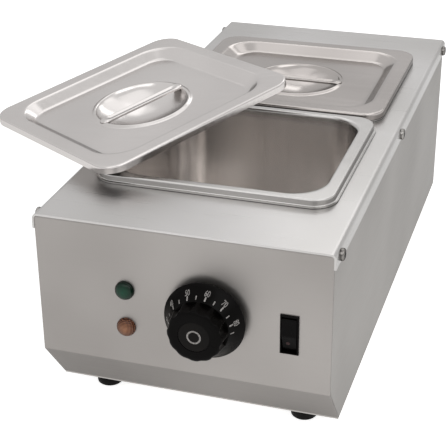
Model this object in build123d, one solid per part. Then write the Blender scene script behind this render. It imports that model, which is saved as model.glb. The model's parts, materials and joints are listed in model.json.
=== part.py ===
"""Countertop chocolate melter with two lift-out pans and two lids.

Millimetres. X runs to the right as seen from the control panel, Y runs from
the control panel to the back, Z is up. The origin is on the worktop, under the
middle of the housing. The rear lid is closed. The front lid lies askew on the
left edge of the front pan.
"""
import os

from build123d import *

# housing
BODY_W = 210.0            # over the side flanges of the top cover
BODY_L = 445.0
FOOT_H = 12.0             # worktop to the underside of the base
BODY_H = 145.0            # underside of the base to the top of the cover
COVER_T = 1.5
PANEL_T = 1.2
FLANGE_H = 11.0           # side flanges of the cover
COVER_BEND_R = 3.8
LIP = 12.0                # turned-in lips of the panels
TOP_LIP = 8.0             # short, clear of the cover screws
FRONT_LIP = 6.0           # short, clear of the front feet
CHAMFER_IN = 29.5         # how far the front runs in at the bottom
CHAMFER_UP = 38.8         # how high that slope starts above the base
SCREW_Y = 209.0           # cover screws, from the middle to each end
SCREW_DROP = 6.0          # below the top of the cover

BASE_Z = FOOT_H
TOP_Z = FOOT_H + BODY_H
FRONT_Y = -BODY_L / 2 + 0.5
REAR_Y = BODY_L / 2 - 0.5
SIDE_X = BODY_W / 2 - COVER_T       # outer face of the side panels
LIP_Z = BASE_Z + PANEL_T            # top of the base plate
COVER_UNDER_Z = TOP_Z - COVER_T

# pans, one sixth size
PAN_MOUTH_W = 154.0       # opening, across the housing
PAN_MOUTH_D = 145.0       # opening, along the housing
RING_SIDE = 9.4           # flat ring on top, beside the mouth
RING_END = 6.7            # flat ring on top, before and behind the mouth
HEM_OUT = 1.8             # how far the hem stands out from the ring
PAN_RING_W = PAN_MOUTH_W + 2 * RING_SIDE
PAN_RING_D = PAN_MOUTH_D + 2 * RING_END
PAN_W = PAN_RING_W + 2 * HEM_OUT
PAN_D = PAN_RING_D + 2 * HEM_OUT
PAN_DEEP = 100.0
PAN_T = 0.8
PAN_MOUTH_R = 28.0
PAN_TAPER = 3.0
PAN_FLOOR_R = 12.0
RIM_H = 5.7
HEM_H = 1.0
RIM_R = 16.0
LOOSE = 0.3               # between parts that lift off each other
PAN_PITCH = PAN_D + 1.0
PAN_Y = (-82.0, -82.0 + PAN_PITCH)
RIM_TOP_Z = TOP_Z + LOOSE + RIM_H

# lids
LID_W = PAN_W - 0.4
LID_D = PAN_D
LID_T = 0.8
LID_R = 17.0
LID_SKIRT = 5.5
RECESS_W = PAN_MOUTH_W - 2.0
RECESS_D = PAN_MOUTH_D - 7.0
RECESS_R = 26.0
RECESS_FLOOR_W = RECESS_W - 18.0
RECESS_FLOOR_D = RECESS_D - 16.0
RECESS_DEEP = 7.0
CUP_R = 36.0
CUP_DEEP = 12.0           # a shallow ball shape
CUP_BALL_R = (CUP_R**2 + CUP_DEEP**2) / (2 * CUP_DEEP)
BAR_W = 9.0
BAR_T = 2.4
BAR_L = 2 * CUP_R + 6.0
LID_REST_Z = RIM_TOP_Z + LOOSE + LID_T
# where the front lid lies: middle of its border, turn, slope along, slope across
LOOSE_LID = (-PAN_W / 2 - 0.3, PAN_Y[0] + 23.0, RIM_TOP_Z + 20.05)
LOOSE_LID_TURN = (57.0, -9.1, -2.2)

# openings of the cover and the dry heating tank under them
CUT_W = PAN_MOUTH_W + 8.0
CUT_D = PAN_MOUTH_D + 6.0
CUT_R = 30.0
TANK_W = CUT_W + 6.0
TANK_FRONT = PAN_Y[0] - CUT_D / 2 - 2.0
TANK_REAR = PAN_Y[1] + CUT_D / 2 + 2.0
TANK_T = 0.8
TANK_R = 20.0
TANK_FLOOR_Z = RIM_TOP_Z - PAN_DEEP - PAN_T - 8.0
TANK_FLANGE = 8.0
TANK_UNDER_Z = TANK_FLOOR_Z - TANK_T
BOARD_GAP = 5.5           # insulation board to side panel

# tubular element under the tank
ELEMENT_R = 3.25
ELEMENT_LEG = 20.0        # half the pitch of its legs
ELEMENT_TURN_Y = 120.0
ELEMENT_END_Y = 173.0
ELEMENT_Z = TANK_UNDER_Z - ELEMENT_R
CLAMP_Y = (-70.0, 70.0)
CLAMP_T = 1.5
CLAMP_STUD_X = (-40.0, 40.0)

# control panel
PANEL_Z = 94.3            # height of the row of controls
LAMP_X = -39.8
LAMP_PITCH = 28.6
LAMP_Z = (PANEL_Z - 0.3 + LAMP_PITCH / 2, PANEL_Z - 0.3 - LAMP_PITCH / 2)
LAMP_R = 6.8
LAMP_BODY_R = 5.0
DIAL_X = 18.5
DIAL_Z = PANEL_Z + 3.3
DIAL_R = 28.3
DIAL_EDGE = 6.0           # edge of the bell-shaped skirt to panel
DIAL_NECK = 16.5          # where the skirt meets the grip, to panel
DIAL_NECK_R = 20.6
DIAL_WALL = 1.8
DIAL_TUCK = 2.9           # how far the skirt turns in behind its edge
DIAL_GAP = 1.0            # skirt to panel
GRIP_R = 18.9
GRIP_END = 28.0           # front of the grip to panel
GRIP_FLUTES = 12
SPINDLE_R = 3.0
TURN_GAP = 0.05           # running clearance of spindle and rocker pivots
SWITCH_X = 75.3
SWITCH_Z = PANEL_Z - 0.8
SWITCH_W = 12.8
SWITCH_H = 29.4
SWITCH_PROUD = 1.6
ROCKER_W = 10.4
ROCKER_H = 25.8
ROCKER_SLANT = 7.0        # each half of the rocker off the middle plane
CUTOUT_Z = DIAL_Z + 8.0
BULB_X = -60.0            # left end of the sensing bulb
BULB_L = 76.0

# back
INLET_X = 55.0
INLET_Z = 62.0
EARTH_X = -45.0
EARTH_Y = 200.0
VENT_Y = 168.0            # front end of the slots in the base
VENT_L = 28.0
TERMINAL_W = 44.0
TERMINAL_Y = 188.0        # front of the terminal block
TERMINAL_D = 18.0
TERMINAL_STEP = 14.0
FEET_X = 75.0
FEET_Y = 175.0
FOOT_R = 10.5
FOOT_TIP_R = 9.5

os.makedirs("parts", exist_ok=True)

# turns a shape that stands up along Z towards another direction
TURNS = {
    "x": Rot(0, 90, 0),
    "-x": Rot(0, -90, 0),
    "y": Rot(-90, 0, 0),
    "-y": Rot(90, 0, 0),
    "z": Rot(0, 0, 0),
    "-z": Rot(180, 0, 0),
}


def block(x0, x1, y0, y1, z0, z1):
    """A box between two corners."""
    box = Box(x1 - x0, y1 - y0, z1 - z0)
    return Pos((x0 + x1) / 2, (y0 + y1) / 2, (z0 + z1) / 2) * box


def slab(w, d, r, z0, z1):
    """A round-cornered plate about the Z axis between two heights."""
    return Pos(0, 0, z0) * extrude(RectangleRounded(w, d, r), amount=z1 - z0)


def rod(x, y, z, r, length, toward="z"):
    """A cylinder from a point, running along an axis."""
    return Pos(x, y, z) * TURNS[toward] * Pos(0, 0, length / 2) * Cylinder(r, length)


def turned(points, x, y, z, toward="z"):
    """A body turned from (radius, height) points about an axis at a point."""
    face = Plane.XZ * make_face(Polyline(*points, close=True))
    return Pos(x, y, z) * TURNS[toward] * revolve(face, Axis.Z)


def edges_at(part, z, half_w=1e3, half_d=1e3, outside=None):
    """Level edges of a part at one height, inside one outline and outside another."""
    found = []
    for edge in part.edges():
        box = edge.bounding_box()
        if abs(box.min.Z - z) > 1e-3 or abs(box.max.Z - z) > 1e-3:
            continue
        reach_x = max(abs(box.min.X), abs(box.max.X))
        reach_y = max(abs(box.min.Y), abs(box.max.Y))
        inside = reach_x < half_w and reach_y < half_d
        beyond = outside is None or reach_x > outside[0] or reach_y > outside[1]
        if inside and beyond:
            found.append(edge)
    return found


def bent_sheet(points, t, half_width, bend=2.0):
    """A sheet folded along (y, z) points, t thick to the left of the run."""
    run = FilletPolyline(*points, radius=bend)
    strip = make_face(offset(run, amount=t, side=Side.LEFT))
    solid = extrude(Plane.YZ * strip, amount=half_width, both=True)
    return solid


def wire_run(points, r, bend):
    """A round wire or tube through points with bent corners."""
    path = FilletPolyline(*points, radius=bend)
    start = Plane(origin=path @ 0, z_dir=path % 0)
    return sweep(start * Circle(r), path=path)


def pan_head(x, y, z, toward, head_r, head_h, shank_r, shank_l):
    """A pan-head screw with a cross recess, seated at a point."""
    head = Pos(0, 0, head_h / 2) * Cylinder(head_r, head_h)
    head = fillet(head.edges().filter_by_position(Axis.Z, head_h, head_h), head_h * 0.55)
    shank = Pos(0, 0, -shank_l / 2) * Cylinder(shank_r, shank_l)
    slot = Box(head_r * 1.1, head_r * 0.26, head_h) + Box(head_r * 0.26, head_r * 1.1, head_h)
    screw = head + shank - Pos(0, 0, head_h * 0.95) * slot
    return Pos(x, y, z) * TURNS[toward] * screw


def hex_nut(x, y, z, toward, across, height, bore_r):
    """A plain hexagon nut, seated at a point."""
    nut = extrude(RegularPolygon(across / 2, 6, major_radius=False), amount=height)
    nut -= Pos(0, 0, height / 2) * Cylinder(bore_r, height * 2)
    return Pos(x, y, z) * TURNS[toward] * nut


nodes = {}

# Top cover: flat sheet with turned-down sides and two openings
cover = block(-BODY_W / 2, BODY_W / 2, -BODY_L / 2, BODY_L / 2, TOP_Z - FLANGE_H, TOP_Z)
cover = fillet(cover.edges().filter_by(Axis.Y).group_by(Axis.Z)[-1], COVER_BEND_R)
room = block(-SIDE_X, SIDE_X, -BODY_L, BODY_L, -1, COVER_UNDER_Z)
room = fillet(room.edges().filter_by(Axis.Y).group_by(Axis.Z)[-1], COVER_BEND_R - COVER_T)
cover -= room
for pan_y in PAN_Y:
    cover -= Pos(0, pan_y, 0) * slab(CUT_W, CUT_D, CUT_R, TOP_Z - 5, TOP_Z + 5)
screw_z = TOP_Z - SCREW_DROP
screw_ys = (-SCREW_Y, 0.0, SCREW_Y)
for y in screw_ys:
    cover -= rod(-BODY_W / 2 - 1, y, screw_z, 2.2, BODY_W + 2, "x")
nodes["top_cover"] = cover

lip_end = SIDE_X - PANEL_T - 0.3


def trim_lips(panel, top_y0, low_y0, y1):
    """Stop the lips of an end panel short of the side panels."""
    for x in (-SIDE_X - 1, lip_end):
        x1 = x + SIDE_X + 1 - lip_end
        panel -= block(x, x1, top_y0, y1, COVER_UNDER_Z - 3.5, TOP_Z)
        panel -= block(x, x1, low_y0, y1, BASE_Z, LIP_Z + 3.5)
    return panel


# Front panel: upright face, slope at the bottom, lips at top and bottom
front = bent_sheet(
    [
        (FRONT_Y + TOP_LIP, COVER_UNDER_Z),
        (FRONT_Y, COVER_UNDER_Z),
        (FRONT_Y, BASE_Z + CHAMFER_UP),
        (FRONT_Y + CHAMFER_IN, LIP_Z),
        (FRONT_Y + CHAMFER_IN + FRONT_LIP, LIP_Z),
    ],
    PANEL_T,
    SIDE_X,
    bend=1.6,
)
for z in LAMP_Z:
    front -= rod(LAMP_X, FRONT_Y - 1, z, LAMP_BODY_R + 0.1, 4, "y")
front -= rod(DIAL_X, FRONT_Y - 1, DIAL_Z, 5.0, 4, "y")
for dx in (-14, 14):
    front -= rod(DIAL_X + dx, FRONT_Y - 1, DIAL_Z, 1.9, 4, "y")
front -= block(
    SWITCH_X - 5.9, SWITCH_X + 5.9, FRONT_Y - 1, FRONT_Y + 3,
    SWITCH_Z - 14.2, SWITCH_Z + 14.2,
)
front = trim_lips(front, FRONT_Y + PANEL_T + 0.2, FRONT_Y + CHAMFER_IN + 1.0, FRONT_Y + 60)
nodes["front_panel"] = front & room

# Side panels: behind the front and rear panels, lips at front, back and bottom
side_z1 = COVER_UNDER_Z - 2.6        # under the bend of the cover
side_y0 = FRONT_Y + PANEL_T + 0.3
side_y1 = REAR_Y - PANEL_T - 0.3
slope_in = CHAMFER_IN + 2.0


def side_panel(hand):
    """One side panel; hand is -1 for the left and 1 for the right."""
    outline = Polyline(
        (side_y0, side_z1),
        (side_y0, BASE_Z + CHAMFER_UP + 0.6),
        (FRONT_Y + slope_in, LIP_Z),
        (side_y1, LIP_Z),
        (side_y1, side_z1),
        close=True,
    )
    sheet = extrude(Plane.YZ * make_face(outline), amount=PANEL_T)
    panel = Pos(SIDE_X - PANEL_T, 0, 0) * sheet
    edge = SIDE_X - PANEL_T
    lip_z0 = BASE_Z + CHAMFER_UP + 4
    lip_y0 = FRONT_Y + CHAMFER_IN + LIP + 3
    panel += block(edge - LIP, edge, side_y0, side_y0 + PANEL_T, lip_z0, side_z1 - LIP)
    panel += block(edge - LIP, edge, side_y1 - PANEL_T, side_y1, LIP_Z + LIP, side_z1 - LIP)
    panel += block(edge - LIP, edge, lip_y0, side_y1 - LIP - 3, LIP_Z, LIP_Z + PANEL_T)
    for y in screw_ys:
        panel -= rod(edge - 1, y, screw_z, 2.2, 4, "x")
    return panel if hand > 0 else mirror(panel, Plane.YZ)


nodes["side_panel_left"] = side_panel(-1)
nodes["side_panel_right"] = side_panel(1)

# Rear panel: upright, with louvres and the opening for the mains inlet
rear = bent_sheet(
    [
        (REAR_Y - LIP, LIP_Z),
        (REAR_Y, LIP_Z),
        (REAR_Y, COVER_UNDER_Z),
        (REAR_Y - TOP_LIP, COVER_UNDER_Z),
    ],
    PANEL_T,
    SIDE_X,
    bend=1.6,
)
rear -= block(INLET_X - 13.7, INLET_X + 13.7, REAR_Y - 4, REAR_Y + 1, INLET_Z - 10, INLET_Z + 10)
for dx in (-20, 20):
    rear -= rod(INLET_X + dx, REAR_Y - 4, INLET_Z, 1.7, 6, "y")
for i in range(6):
    rear -= block(-70, -20, REAR_Y - 4, REAR_Y + 1, 80 + 9 * i, 83 + 9 * i)
nodes["rear_panel"] = trim_lips(rear, REAR_Y - 60, REAR_Y - 60, REAR_Y - PANEL_T - 0.2) & room

# Base plate: vent slots, foot holes, earth stud hole
base = block(-SIDE_X, SIDE_X, FRONT_Y + CHAMFER_IN + 0.5, REAR_Y - PANEL_T - 0.3, BASE_Z, LIP_Z)
for x in (-FEET_X, FEET_X):
    for y in (-FEET_Y, FEET_Y):
        base -= rod(x, y, BASE_Z - 1, 2.1, 4)
for side in (-1, 1):
    for i in range(5):
        x = side * (30 + 8 * i)
        base -= block(x - 1.5, x + 1.5, VENT_Y, VENT_Y + VENT_L, BASE_Z - 1, LIP_Z + 1)
base -= rod(EARTH_X, EARTH_Y, BASE_Z - 1, 2.1, 4)
nodes["base_plate"] = base

# Cover screws and the clinch nuts behind the side panels
screws = []
nuts = []
for y in screw_ys:
    screws.append(pan_head(BODY_W / 2, y, screw_z, "x", 4.2, 2.6, 2.0, 8.5))
    screws.append(pan_head(-BODY_W / 2, y, screw_z, "-x", 4.2, 2.6, 2.0, 8.5))
    nut_x = SIDE_X - PANEL_T
    nuts.append(hex_nut(nut_x, y, screw_z, "-x", 7.0, 3.2, 2.02))
    nuts.append(hex_nut(-nut_x, y, screw_z, "x", 7.0, 3.2, 2.02))
nodes["cover_screws"] = Compound(children=screws)
nodes["cover_nuts"] = Compound(children=nuts)

# Feet: rubber, screwed up through the base
feet = []
foot_screws = []
foot_nuts = []
foot_wall = [
    (2.1, 0), (2.1, -6.5), (5.0, -6.5), (5.0, -FOOT_H), (FOOT_TIP_R - 0.8, -FOOT_H),
    (FOOT_TIP_R, -FOOT_H + 0.8), (FOOT_R, -1.0), (FOOT_R, 0),
]
for x in (-FEET_X, FEET_X):
    for y in (-FEET_Y, FEET_Y):
        feet.append(turned(foot_wall, x, y, BASE_Z))
        foot_screws.append(pan_head(x, y, BASE_Z - 6.5, "-z", 4.0, 2.6, 2.0, 13.0))
        foot_nuts.append(hex_nut(x, y, LIP_Z, "z", 7.0, 3.2, 2.02))
nodes["feet"] = Compound(children=feet)
nodes["foot_screws"] = Compound(children=foot_screws)
nodes["foot_nuts"] = Compound(children=foot_nuts)

# Heating tank: dry well hung under the cover, flange spot-welded to it
tank_d = TANK_REAR - TANK_FRONT
tank_y = (TANK_REAR + TANK_FRONT) / 2
tank = slab(TANK_W + 2 * TANK_T, tank_d + 2 * TANK_T, TANK_R + TANK_T, TANK_UNDER_Z, COVER_UNDER_Z)
tank += slab(
    TANK_W + 2 * TANK_FLANGE, tank_d + 2 * TANK_FLANGE, TANK_R + TANK_FLANGE,
    COVER_UNDER_Z - TANK_T, COVER_UNDER_Z,
)
tank = fillet(edges_at(tank, TANK_UNDER_Z), 4.8)
tank_room = slab(TANK_W, tank_d, TANK_R, TANK_FLOOR_Z, COVER_UNDER_Z + 1)
tank -= fillet(edges_at(tank_room, TANK_FLOOR_Z), 4.0)
nodes["heating_tank"] = Pos(0, tank_y, 0) * tank

# Heating element: one tube in four legs, pressed to the tank floor by two clamps
legs = (-3 * ELEMENT_LEG, -ELEMENT_LEG, ELEMENT_LEG, 3 * ELEMENT_LEG)
turn = ELEMENT_TURN_Y - ELEMENT_LEG
run = [
    (legs[0], ELEMENT_END_Y, ELEMENT_Z),
    (legs[0], -turn - ELEMENT_LEG, ELEMENT_Z),
    (legs[1], -turn - ELEMENT_LEG, ELEMENT_Z),
    (legs[1], turn + ELEMENT_LEG, ELEMENT_Z),
    (legs[2], turn + ELEMENT_LEG, ELEMENT_Z),
    (legs[2], -turn - ELEMENT_LEG, ELEMENT_Z),
    (legs[3], -turn - ELEMENT_LEG, ELEMENT_Z),
    (legs[3], ELEMENT_END_Y, ELEMENT_Z),
]
element = wire_run(run, ELEMENT_R, ELEMENT_LEG - 1)
nodes["heating_element"] = element
ends = []
for x in (legs[0], legs[3]):
    end = rod(x, ELEMENT_END_Y, ELEMENT_Z, 4.2, 6, "y")
    end += rod(x, ELEMENT_END_Y + 6, ELEMENT_Z, 1.5, 9, "y")
    ends.append(end)
nodes["element_ends"] = Compound(children=ends)
clamp_z = ELEMENT_Z - ELEMENT_R
bars = []
studs = []
clamp_nuts = []
for y in CLAMP_Y:
    bar = block(-72, 72, y - 7, y + 7, clamp_z - CLAMP_T, clamp_z)
    for x in CLAMP_STUD_X:
        bar -= rod(x, y, clamp_z - 4, 2.2, 8)
        studs.append(rod(x, y, TANK_UNDER_Z, 2.0, TANK_UNDER_Z - clamp_z + CLAMP_T + 5, "-z"))
        clamp_nuts.append(hex_nut(x, y, clamp_z - CLAMP_T, "-z", 7.0, 3.2, 2.02))
    bars.append(bar)
nodes["element_clamps"] = Compound(children=bars)
nodes["clamp_studs"] = Compound(children=studs)
nodes["clamp_nuts"] = Compound(children=clamp_nuts)

# Insulation: a mat under the element and a board on each side of the tank
nodes["insulation_mat"] = block(-82, 82, -150, 150, LIP_Z, LIP_Z + 14)
boards = []
for hand in (-1, 1):
    inside = hand * (TANK_W / 2 + TANK_T)
    outside = hand * (SIDE_X - PANEL_T - BOARD_GAP)
    boards.append(block(min(inside, outside), max(inside, outside), -138, 138, 56, 146))
nodes["insulation_boards"] = Compound(children=boards)

# Thermostat: body behind the panel, screwed through it from the front
thermo_y = FRONT_Y + PANEL_T
body = block(DIAL_X - 17, DIAL_X + 17, thermo_y, thermo_y + 28, DIAL_Z - 17, DIAL_Z + 17)
body = chamfer(body.edges().filter_by(Axis.Y), 3)
body += rod(DIAL_X, FRONT_Y - 2.4, DIAL_Z, 4.9, 4.4, "y")
body -= rod(DIAL_X, FRONT_Y - 3, DIAL_Z, SPINDLE_R + TURN_GAP, 16, "y")
for dx in (-14, 14):
    body -= rod(DIAL_X + dx, thermo_y - 1, DIAL_Z, 1.77, 8, "y")
for dz in (-8, 8):
    z = DIAL_Z + dz
    body += block(DIAL_X - 10, DIAL_X - 3.7, thermo_y + 28, thermo_y + 36, z - 0.4, z + 0.4)
nodes["thermostat_body"] = body
nodes["thermostat_screws"] = Compound(
    children=[
        pan_head(DIAL_X + dx, FRONT_Y, DIAL_Z, "-y", 3.4, 2.0, 1.75, 8)
        for dx in (-14, 14)
    ]
)

# Sensing bulb on the front wall of the tank, with its thin copper tube
bulb_y = TANK_FRONT - TANK_T - 3.0
bulb_z = 70.0
bulb = rod(BULB_X, bulb_y, bulb_z, 3.0, BULB_L, "x")
nodes["thermostat_bulb"] = bulb
tube_y = thermo_y + 28
nodes["thermostat_tube"] = wire_run(
    [
        (DIAL_X + 6, tube_y, DIAL_Z - 10),
        (DIAL_X + 6, tube_y + 14, DIAL_Z - 10),
        (DIAL_X + 22, tube_y + 14, DIAL_Z - 10),
        (DIAL_X + 22, bulb_y, bulb_z),
        (BULB_X + BULB_L, bulb_y, bulb_z),
    ],
    0.8,
    4.0,
)
clips = []
for x in (BULB_X + 14, BULB_X + 62):
    strap = rod(x - 4, bulb_y, bulb_z, 3.8, 8, "x")
    strap -= block(x - 5, x + 5, bulb_y, bulb_y + 6, bulb_z - 6, bulb_z + 6)
    strap += block(x - 4, x + 4, bulb_y, bulb_y + 3.0, bulb_z - 3.8, bulb_z + 3.8)
    strap += block(x - 4, x + 4, bulb_y + 2.2, bulb_y + 3.0, bulb_z - 11, bulb_z - 3.8)
    strap -= rod(x - 5, bulb_y, bulb_z, 3.0, 10, "x")
    strap -= block(x - 5, x + 5, bulb_y, bulb_y + 4, bulb_z - 3.0, bulb_z + 3.0)
    clips.append(strap)
nodes["bulb_clips"] = Compound(children=clips)

# Safety cut-out on the same wall
cut_y = TANK_FRONT - TANK_T
cutout = rod(55, cut_y, CUTOUT_Z, 8.0, 9, "-y") + rod(55, cut_y, CUTOUT_Z, 10.5, 0.8, "-y")
for dx in (-4, 4):
    cutout += block(55 + dx - 0.4, 55 + dx + 0.4, cut_y - 17, cut_y - 9, CUTOUT_Z - 3, CUTOUT_Z + 3)
nodes["safety_cutout"] = cutout

# Dial: spindle, brass insert, moulded knob and a disc let into its front
axis_front = FRONT_Y - GRIP_END
spindle_front = axis_front + 8
spindle_len = FRONT_Y + 12 - spindle_front
nodes["dial_spindle"] = rod(DIAL_X, spindle_front, DIAL_Z, SPINDLE_R, spindle_len, "y")
insert_y = FRONT_Y - 4
insert = rod(DIAL_X, axis_front + 6, DIAL_Z, 5.0, insert_y - axis_front - 6, "y")
insert -= rod(DIAL_X, spindle_front, DIAL_Z, SPINDLE_R, 40, "y")
nodes["dial_insert"] = insert
skirt_face = [(DIAL_R, DIAL_EDGE), (25.6, 9.2), (23.2, 12.6), (21.6, 15.2), (DIAL_NECK_R, DIAL_NECK)]
skirt_back = [(r - DIAL_WALL, h - DIAL_WALL * 0.5) for r, h in skirt_face]
knob = turned(
    [(0, GRIP_END - 3), (GRIP_R - DIAL_WALL, GRIP_END - 3)]
    + skirt_back[::-1]
    + [(DIAL_R - DIAL_TUCK - DIAL_WALL, DIAL_GAP), (DIAL_R - DIAL_TUCK, DIAL_GAP)]
    + skirt_face
    + [(GRIP_R + 0.5, DIAL_NECK + 0.4), (GRIP_R, GRIP_END - 2.2)]
    + [(GRIP_R - 2.2, GRIP_END), (0, GRIP_END)],
    DIAL_X, FRONT_Y, DIAL_Z, "-y",
)
knob += rod(DIAL_X, axis_front + 2, DIAL_Z, 8.0, insert_y - axis_front - 2, "y")
knob -= rod(DIAL_X, axis_front + 6, DIAL_Z, 5.0, 40, "y")
flute_r = 6.0
flute_reach = GRIP_R + flute_r - 0.9
for i in range(GRIP_FLUTES):
    place = Pos(DIAL_X, 0, DIAL_Z) * Rot(0, i * 360 / GRIP_FLUTES + 15, 0) * Pos(flute_reach, 0, 0)
    knob -= place * rod(0, axis_front - 1, 0, flute_r, GRIP_END - DIAL_NECK + 0.4, "y")
knob -= rod(DIAL_X, axis_front - 1, DIAL_Z, 11.0, 1.8, "y")
nodes["dial_knob"] = knob
nodes["dial_disc"] = rod(DIAL_X, axis_front + 0.2, DIAL_Z, 11.0, 0.6, "y")

# Rocker switch: frame and body in the panel, rocker on a cross pin
pivot_y = FRONT_Y + 3.0
frame = block(
    SWITCH_X - SWITCH_W / 2, SWITCH_X + SWITCH_W / 2, FRONT_Y - SWITCH_PROUD, FRONT_Y,
    SWITCH_Z - SWITCH_H / 2, SWITCH_Z + SWITCH_H / 2,
)
frame = chamfer(frame.edges().group_by(Axis.Y)[0], 0.7)
frame += block(SWITCH_X - 5.8, SWITCH_X + 5.8, FRONT_Y, FRONT_Y + 24, SWITCH_Z - 14.1, SWITCH_Z + 14.1)
frame -= block(
    SWITCH_X - ROCKER_W / 2 - 0.2, SWITCH_X + ROCKER_W / 2 + 0.2, FRONT_Y - 5, FRONT_Y + 10,
    SWITCH_Z - 13.5, SWITCH_Z + 13.5,
)
frame -= rod(SWITCH_X - 5.6, pivot_y, SWITCH_Z, 1.5 + TURN_GAP, 11.2, "x")
nodes["switch_frame"] = frame
tabs = []
for dz in (-8, 0, 8):
    z = SWITCH_Z + dz
    tabs.append(block(SWITCH_X - 2.4, SWITCH_X + 2.4, FRONT_Y + 24, FRONT_Y + 32, z - 0.4, z + 0.4))
nodes["switch_tabs"] = Compound(children=tabs)
half = ROCKER_H / 2
ridge = 5.3
outline = Polyline(
    (-half, 3.7), (0, ridge), (half, 3.7), (half, 1.6), (5.0, -3.0), (-5.0, -3.0), (-half, 1.6),
    close=True,
)
rocker = extrude(Plane.YZ * make_face(outline), amount=ROCKER_W / 2, both=True)
rocker = Rot(90, 0, 0) * rocker
rocker += Pos(-5.55, 0, 0) * rod(0, 0, 0, 1.5, 11.1, "x")
nodes["switch_rocker"] = Pos(SWITCH_X, pivot_y, SWITCH_Z) * Rot(ROCKER_SLANT, 0, 0) * rocker

# Pilot lamps: domed lens, holder behind the panel, push-on ring
lens_wall = [
    (0, -2), (LAMP_BODY_R - 0.9, -2), (LAMP_BODY_R - 0.9, 0), (LAMP_R, 0), (LAMP_R, 1.3), (LAMP_R - 0.7, 2.0),
    (5.4, 3.2), (4.0, 4.1), (2.2, 4.6), (0, 4.8),
]
rings = []
holders = []
for name, z in zip(("green", "amber"), LAMP_Z):
    nodes["lamp_lens_" + name] = turned(lens_wall, LAMP_X, FRONT_Y, z, "-y")
    holder = rod(LAMP_X, FRONT_Y, z, LAMP_BODY_R, 24, "y")
    holder -= rod(LAMP_X, FRONT_Y - 1, z, LAMP_BODY_R - 0.9, 9, "y")
    for dx in (-2, 2):
        holder += block(LAMP_X + dx - 0.4, LAMP_X + dx + 0.4, FRONT_Y + 24, FRONT_Y + 31, z - 2.4, z + 2.4)
    holders.append(holder)
    ring = rod(LAMP_X, FRONT_Y + PANEL_T, z, 8.0, 2.5, "y") - rod(LAMP_X, FRONT_Y, z, LAMP_BODY_R, 8, "y")
    rings.append(ring)
nodes["lamp_holders"] = Compound(children=holders)
nodes["lamp_rings"] = Compound(children=rings)

# Mains inlet in the rear panel
inlet = block(INLET_X - 25, INLET_X + 25, REAR_Y, REAR_Y + 2.5, INLET_Z - 11.5, INLET_Z + 11.5)
inlet = fillet(inlet.edges().filter_by(Axis.Y), 5)
inlet += block(INLET_X - 13.5, INLET_X + 13.5, REAR_Y - 18, REAR_Y, INLET_Z - 9.8, INLET_Z + 9.8)
cavity = block(INLET_X - 12, INLET_X + 12, REAR_Y - 14.5, REAR_Y + 3, INLET_Z - 8.3, INLET_Z + 8.3)
inlet -= chamfer(cavity.edges().filter_by(Axis.Y).sort_by(Axis.Z)[2:], 4)
pins = []
for dx, dz in ((-7, -2), (7, -2), (0, 2)):
    x = INLET_X + dx
    z = INLET_Z + dz
    pins.append(block(x - 1, x + 1, REAR_Y - 26, REAR_Y - 2.5, z - 2, z + 2))
    inlet -= pins[-1]
for dx in (-20, 20):
    inlet -= rod(INLET_X + dx, REAR_Y - 1, INLET_Z, 1.7, 6, "y")
nodes["mains_inlet"] = inlet
nodes["inlet_pins"] = Compound(children=pins)
inlet_screws = []
inlet_nuts = []
for x in (INLET_X - 20, INLET_X + 20):
    inlet_screws.append(pan_head(x, REAR_Y + 2.5, INLET_Z, "y", 2.9, 1.8, 1.5, 10))
    inlet_nuts.append(hex_nut(x, REAR_Y - PANEL_T, INLET_Z, "-y", 5.5, 2.4, 1.52))
nodes["inlet_screws"] = Compound(children=inlet_screws)
nodes["inlet_nuts"] = Compound(children=inlet_nuts)

# Terminal block on the base at the back, earth stud beside it
terminal_z = LIP_Z + 6
terminal_mid = TERMINAL_Y + TERMINAL_D / 2
terminal = block(
    -TERMINAL_W / 2, TERMINAL_W / 2, TERMINAL_Y, TERMINAL_Y + TERMINAL_D, LIP_Z, LIP_Z + 15
)
terminal_clamps = []
for x in (-TERMINAL_STEP, 0, TERMINAL_STEP):
    terminal -= rod(x, terminal_mid, terminal_z, 3.0, 10)
    terminal -= rod(x, TERMINAL_Y - 2, terminal_z, 2.2, TERMINAL_D + 6, "y")
    barrel = rod(x, TERMINAL_Y + 1, terminal_z, 2.2, TERMINAL_D - 2, "y")
    terminal_clamps.append(barrel + rod(x, terminal_mid, terminal_z, 2.0, 8))
nodes["terminal_block"] = terminal
nodes["terminal_clamps"] = Compound(children=terminal_clamps)
earth_head = rod(EARTH_X, EARTH_Y, BASE_Z - 1.2, 4.0, 1.2)
nodes["earth_stud"] = rod(EARTH_X, EARTH_Y, BASE_Z, 2.0, 16) + earth_head
nodes["earth_nut"] = hex_nut(EARTH_X, EARTH_Y, LIP_Z, "z", 7.0, 3.2, 2.02)

# Pans: pressed sheet, rounded from the flat ring into the walls
pan_upper = slab(PAN_RING_W, PAN_RING_D, RIM_R, -PAN_DEEP - 10, 0)
inner_w = PAN_RING_W - 2 * PAN_T
inner_d = PAN_RING_D - 2 * PAN_T
pan_lower = slab(inner_w, inner_d, RIM_R - PAN_T, -PAN_DEEP - 12, -PAN_T)


def bowl(grow):
    """The room inside a pan, grown outwards and downwards."""
    mouth = RectangleRounded(PAN_MOUTH_W + 2 * grow, PAN_MOUTH_D + 2 * grow, PAN_MOUTH_R + grow)
    room = extrude(mouth, amount=PAN_DEEP + grow, dir=(0, 0, -1), taper=PAN_TAPER)
    return fillet(edges_at(room, -PAN_DEEP - grow), PAN_FLOOR_R + grow)


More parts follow.
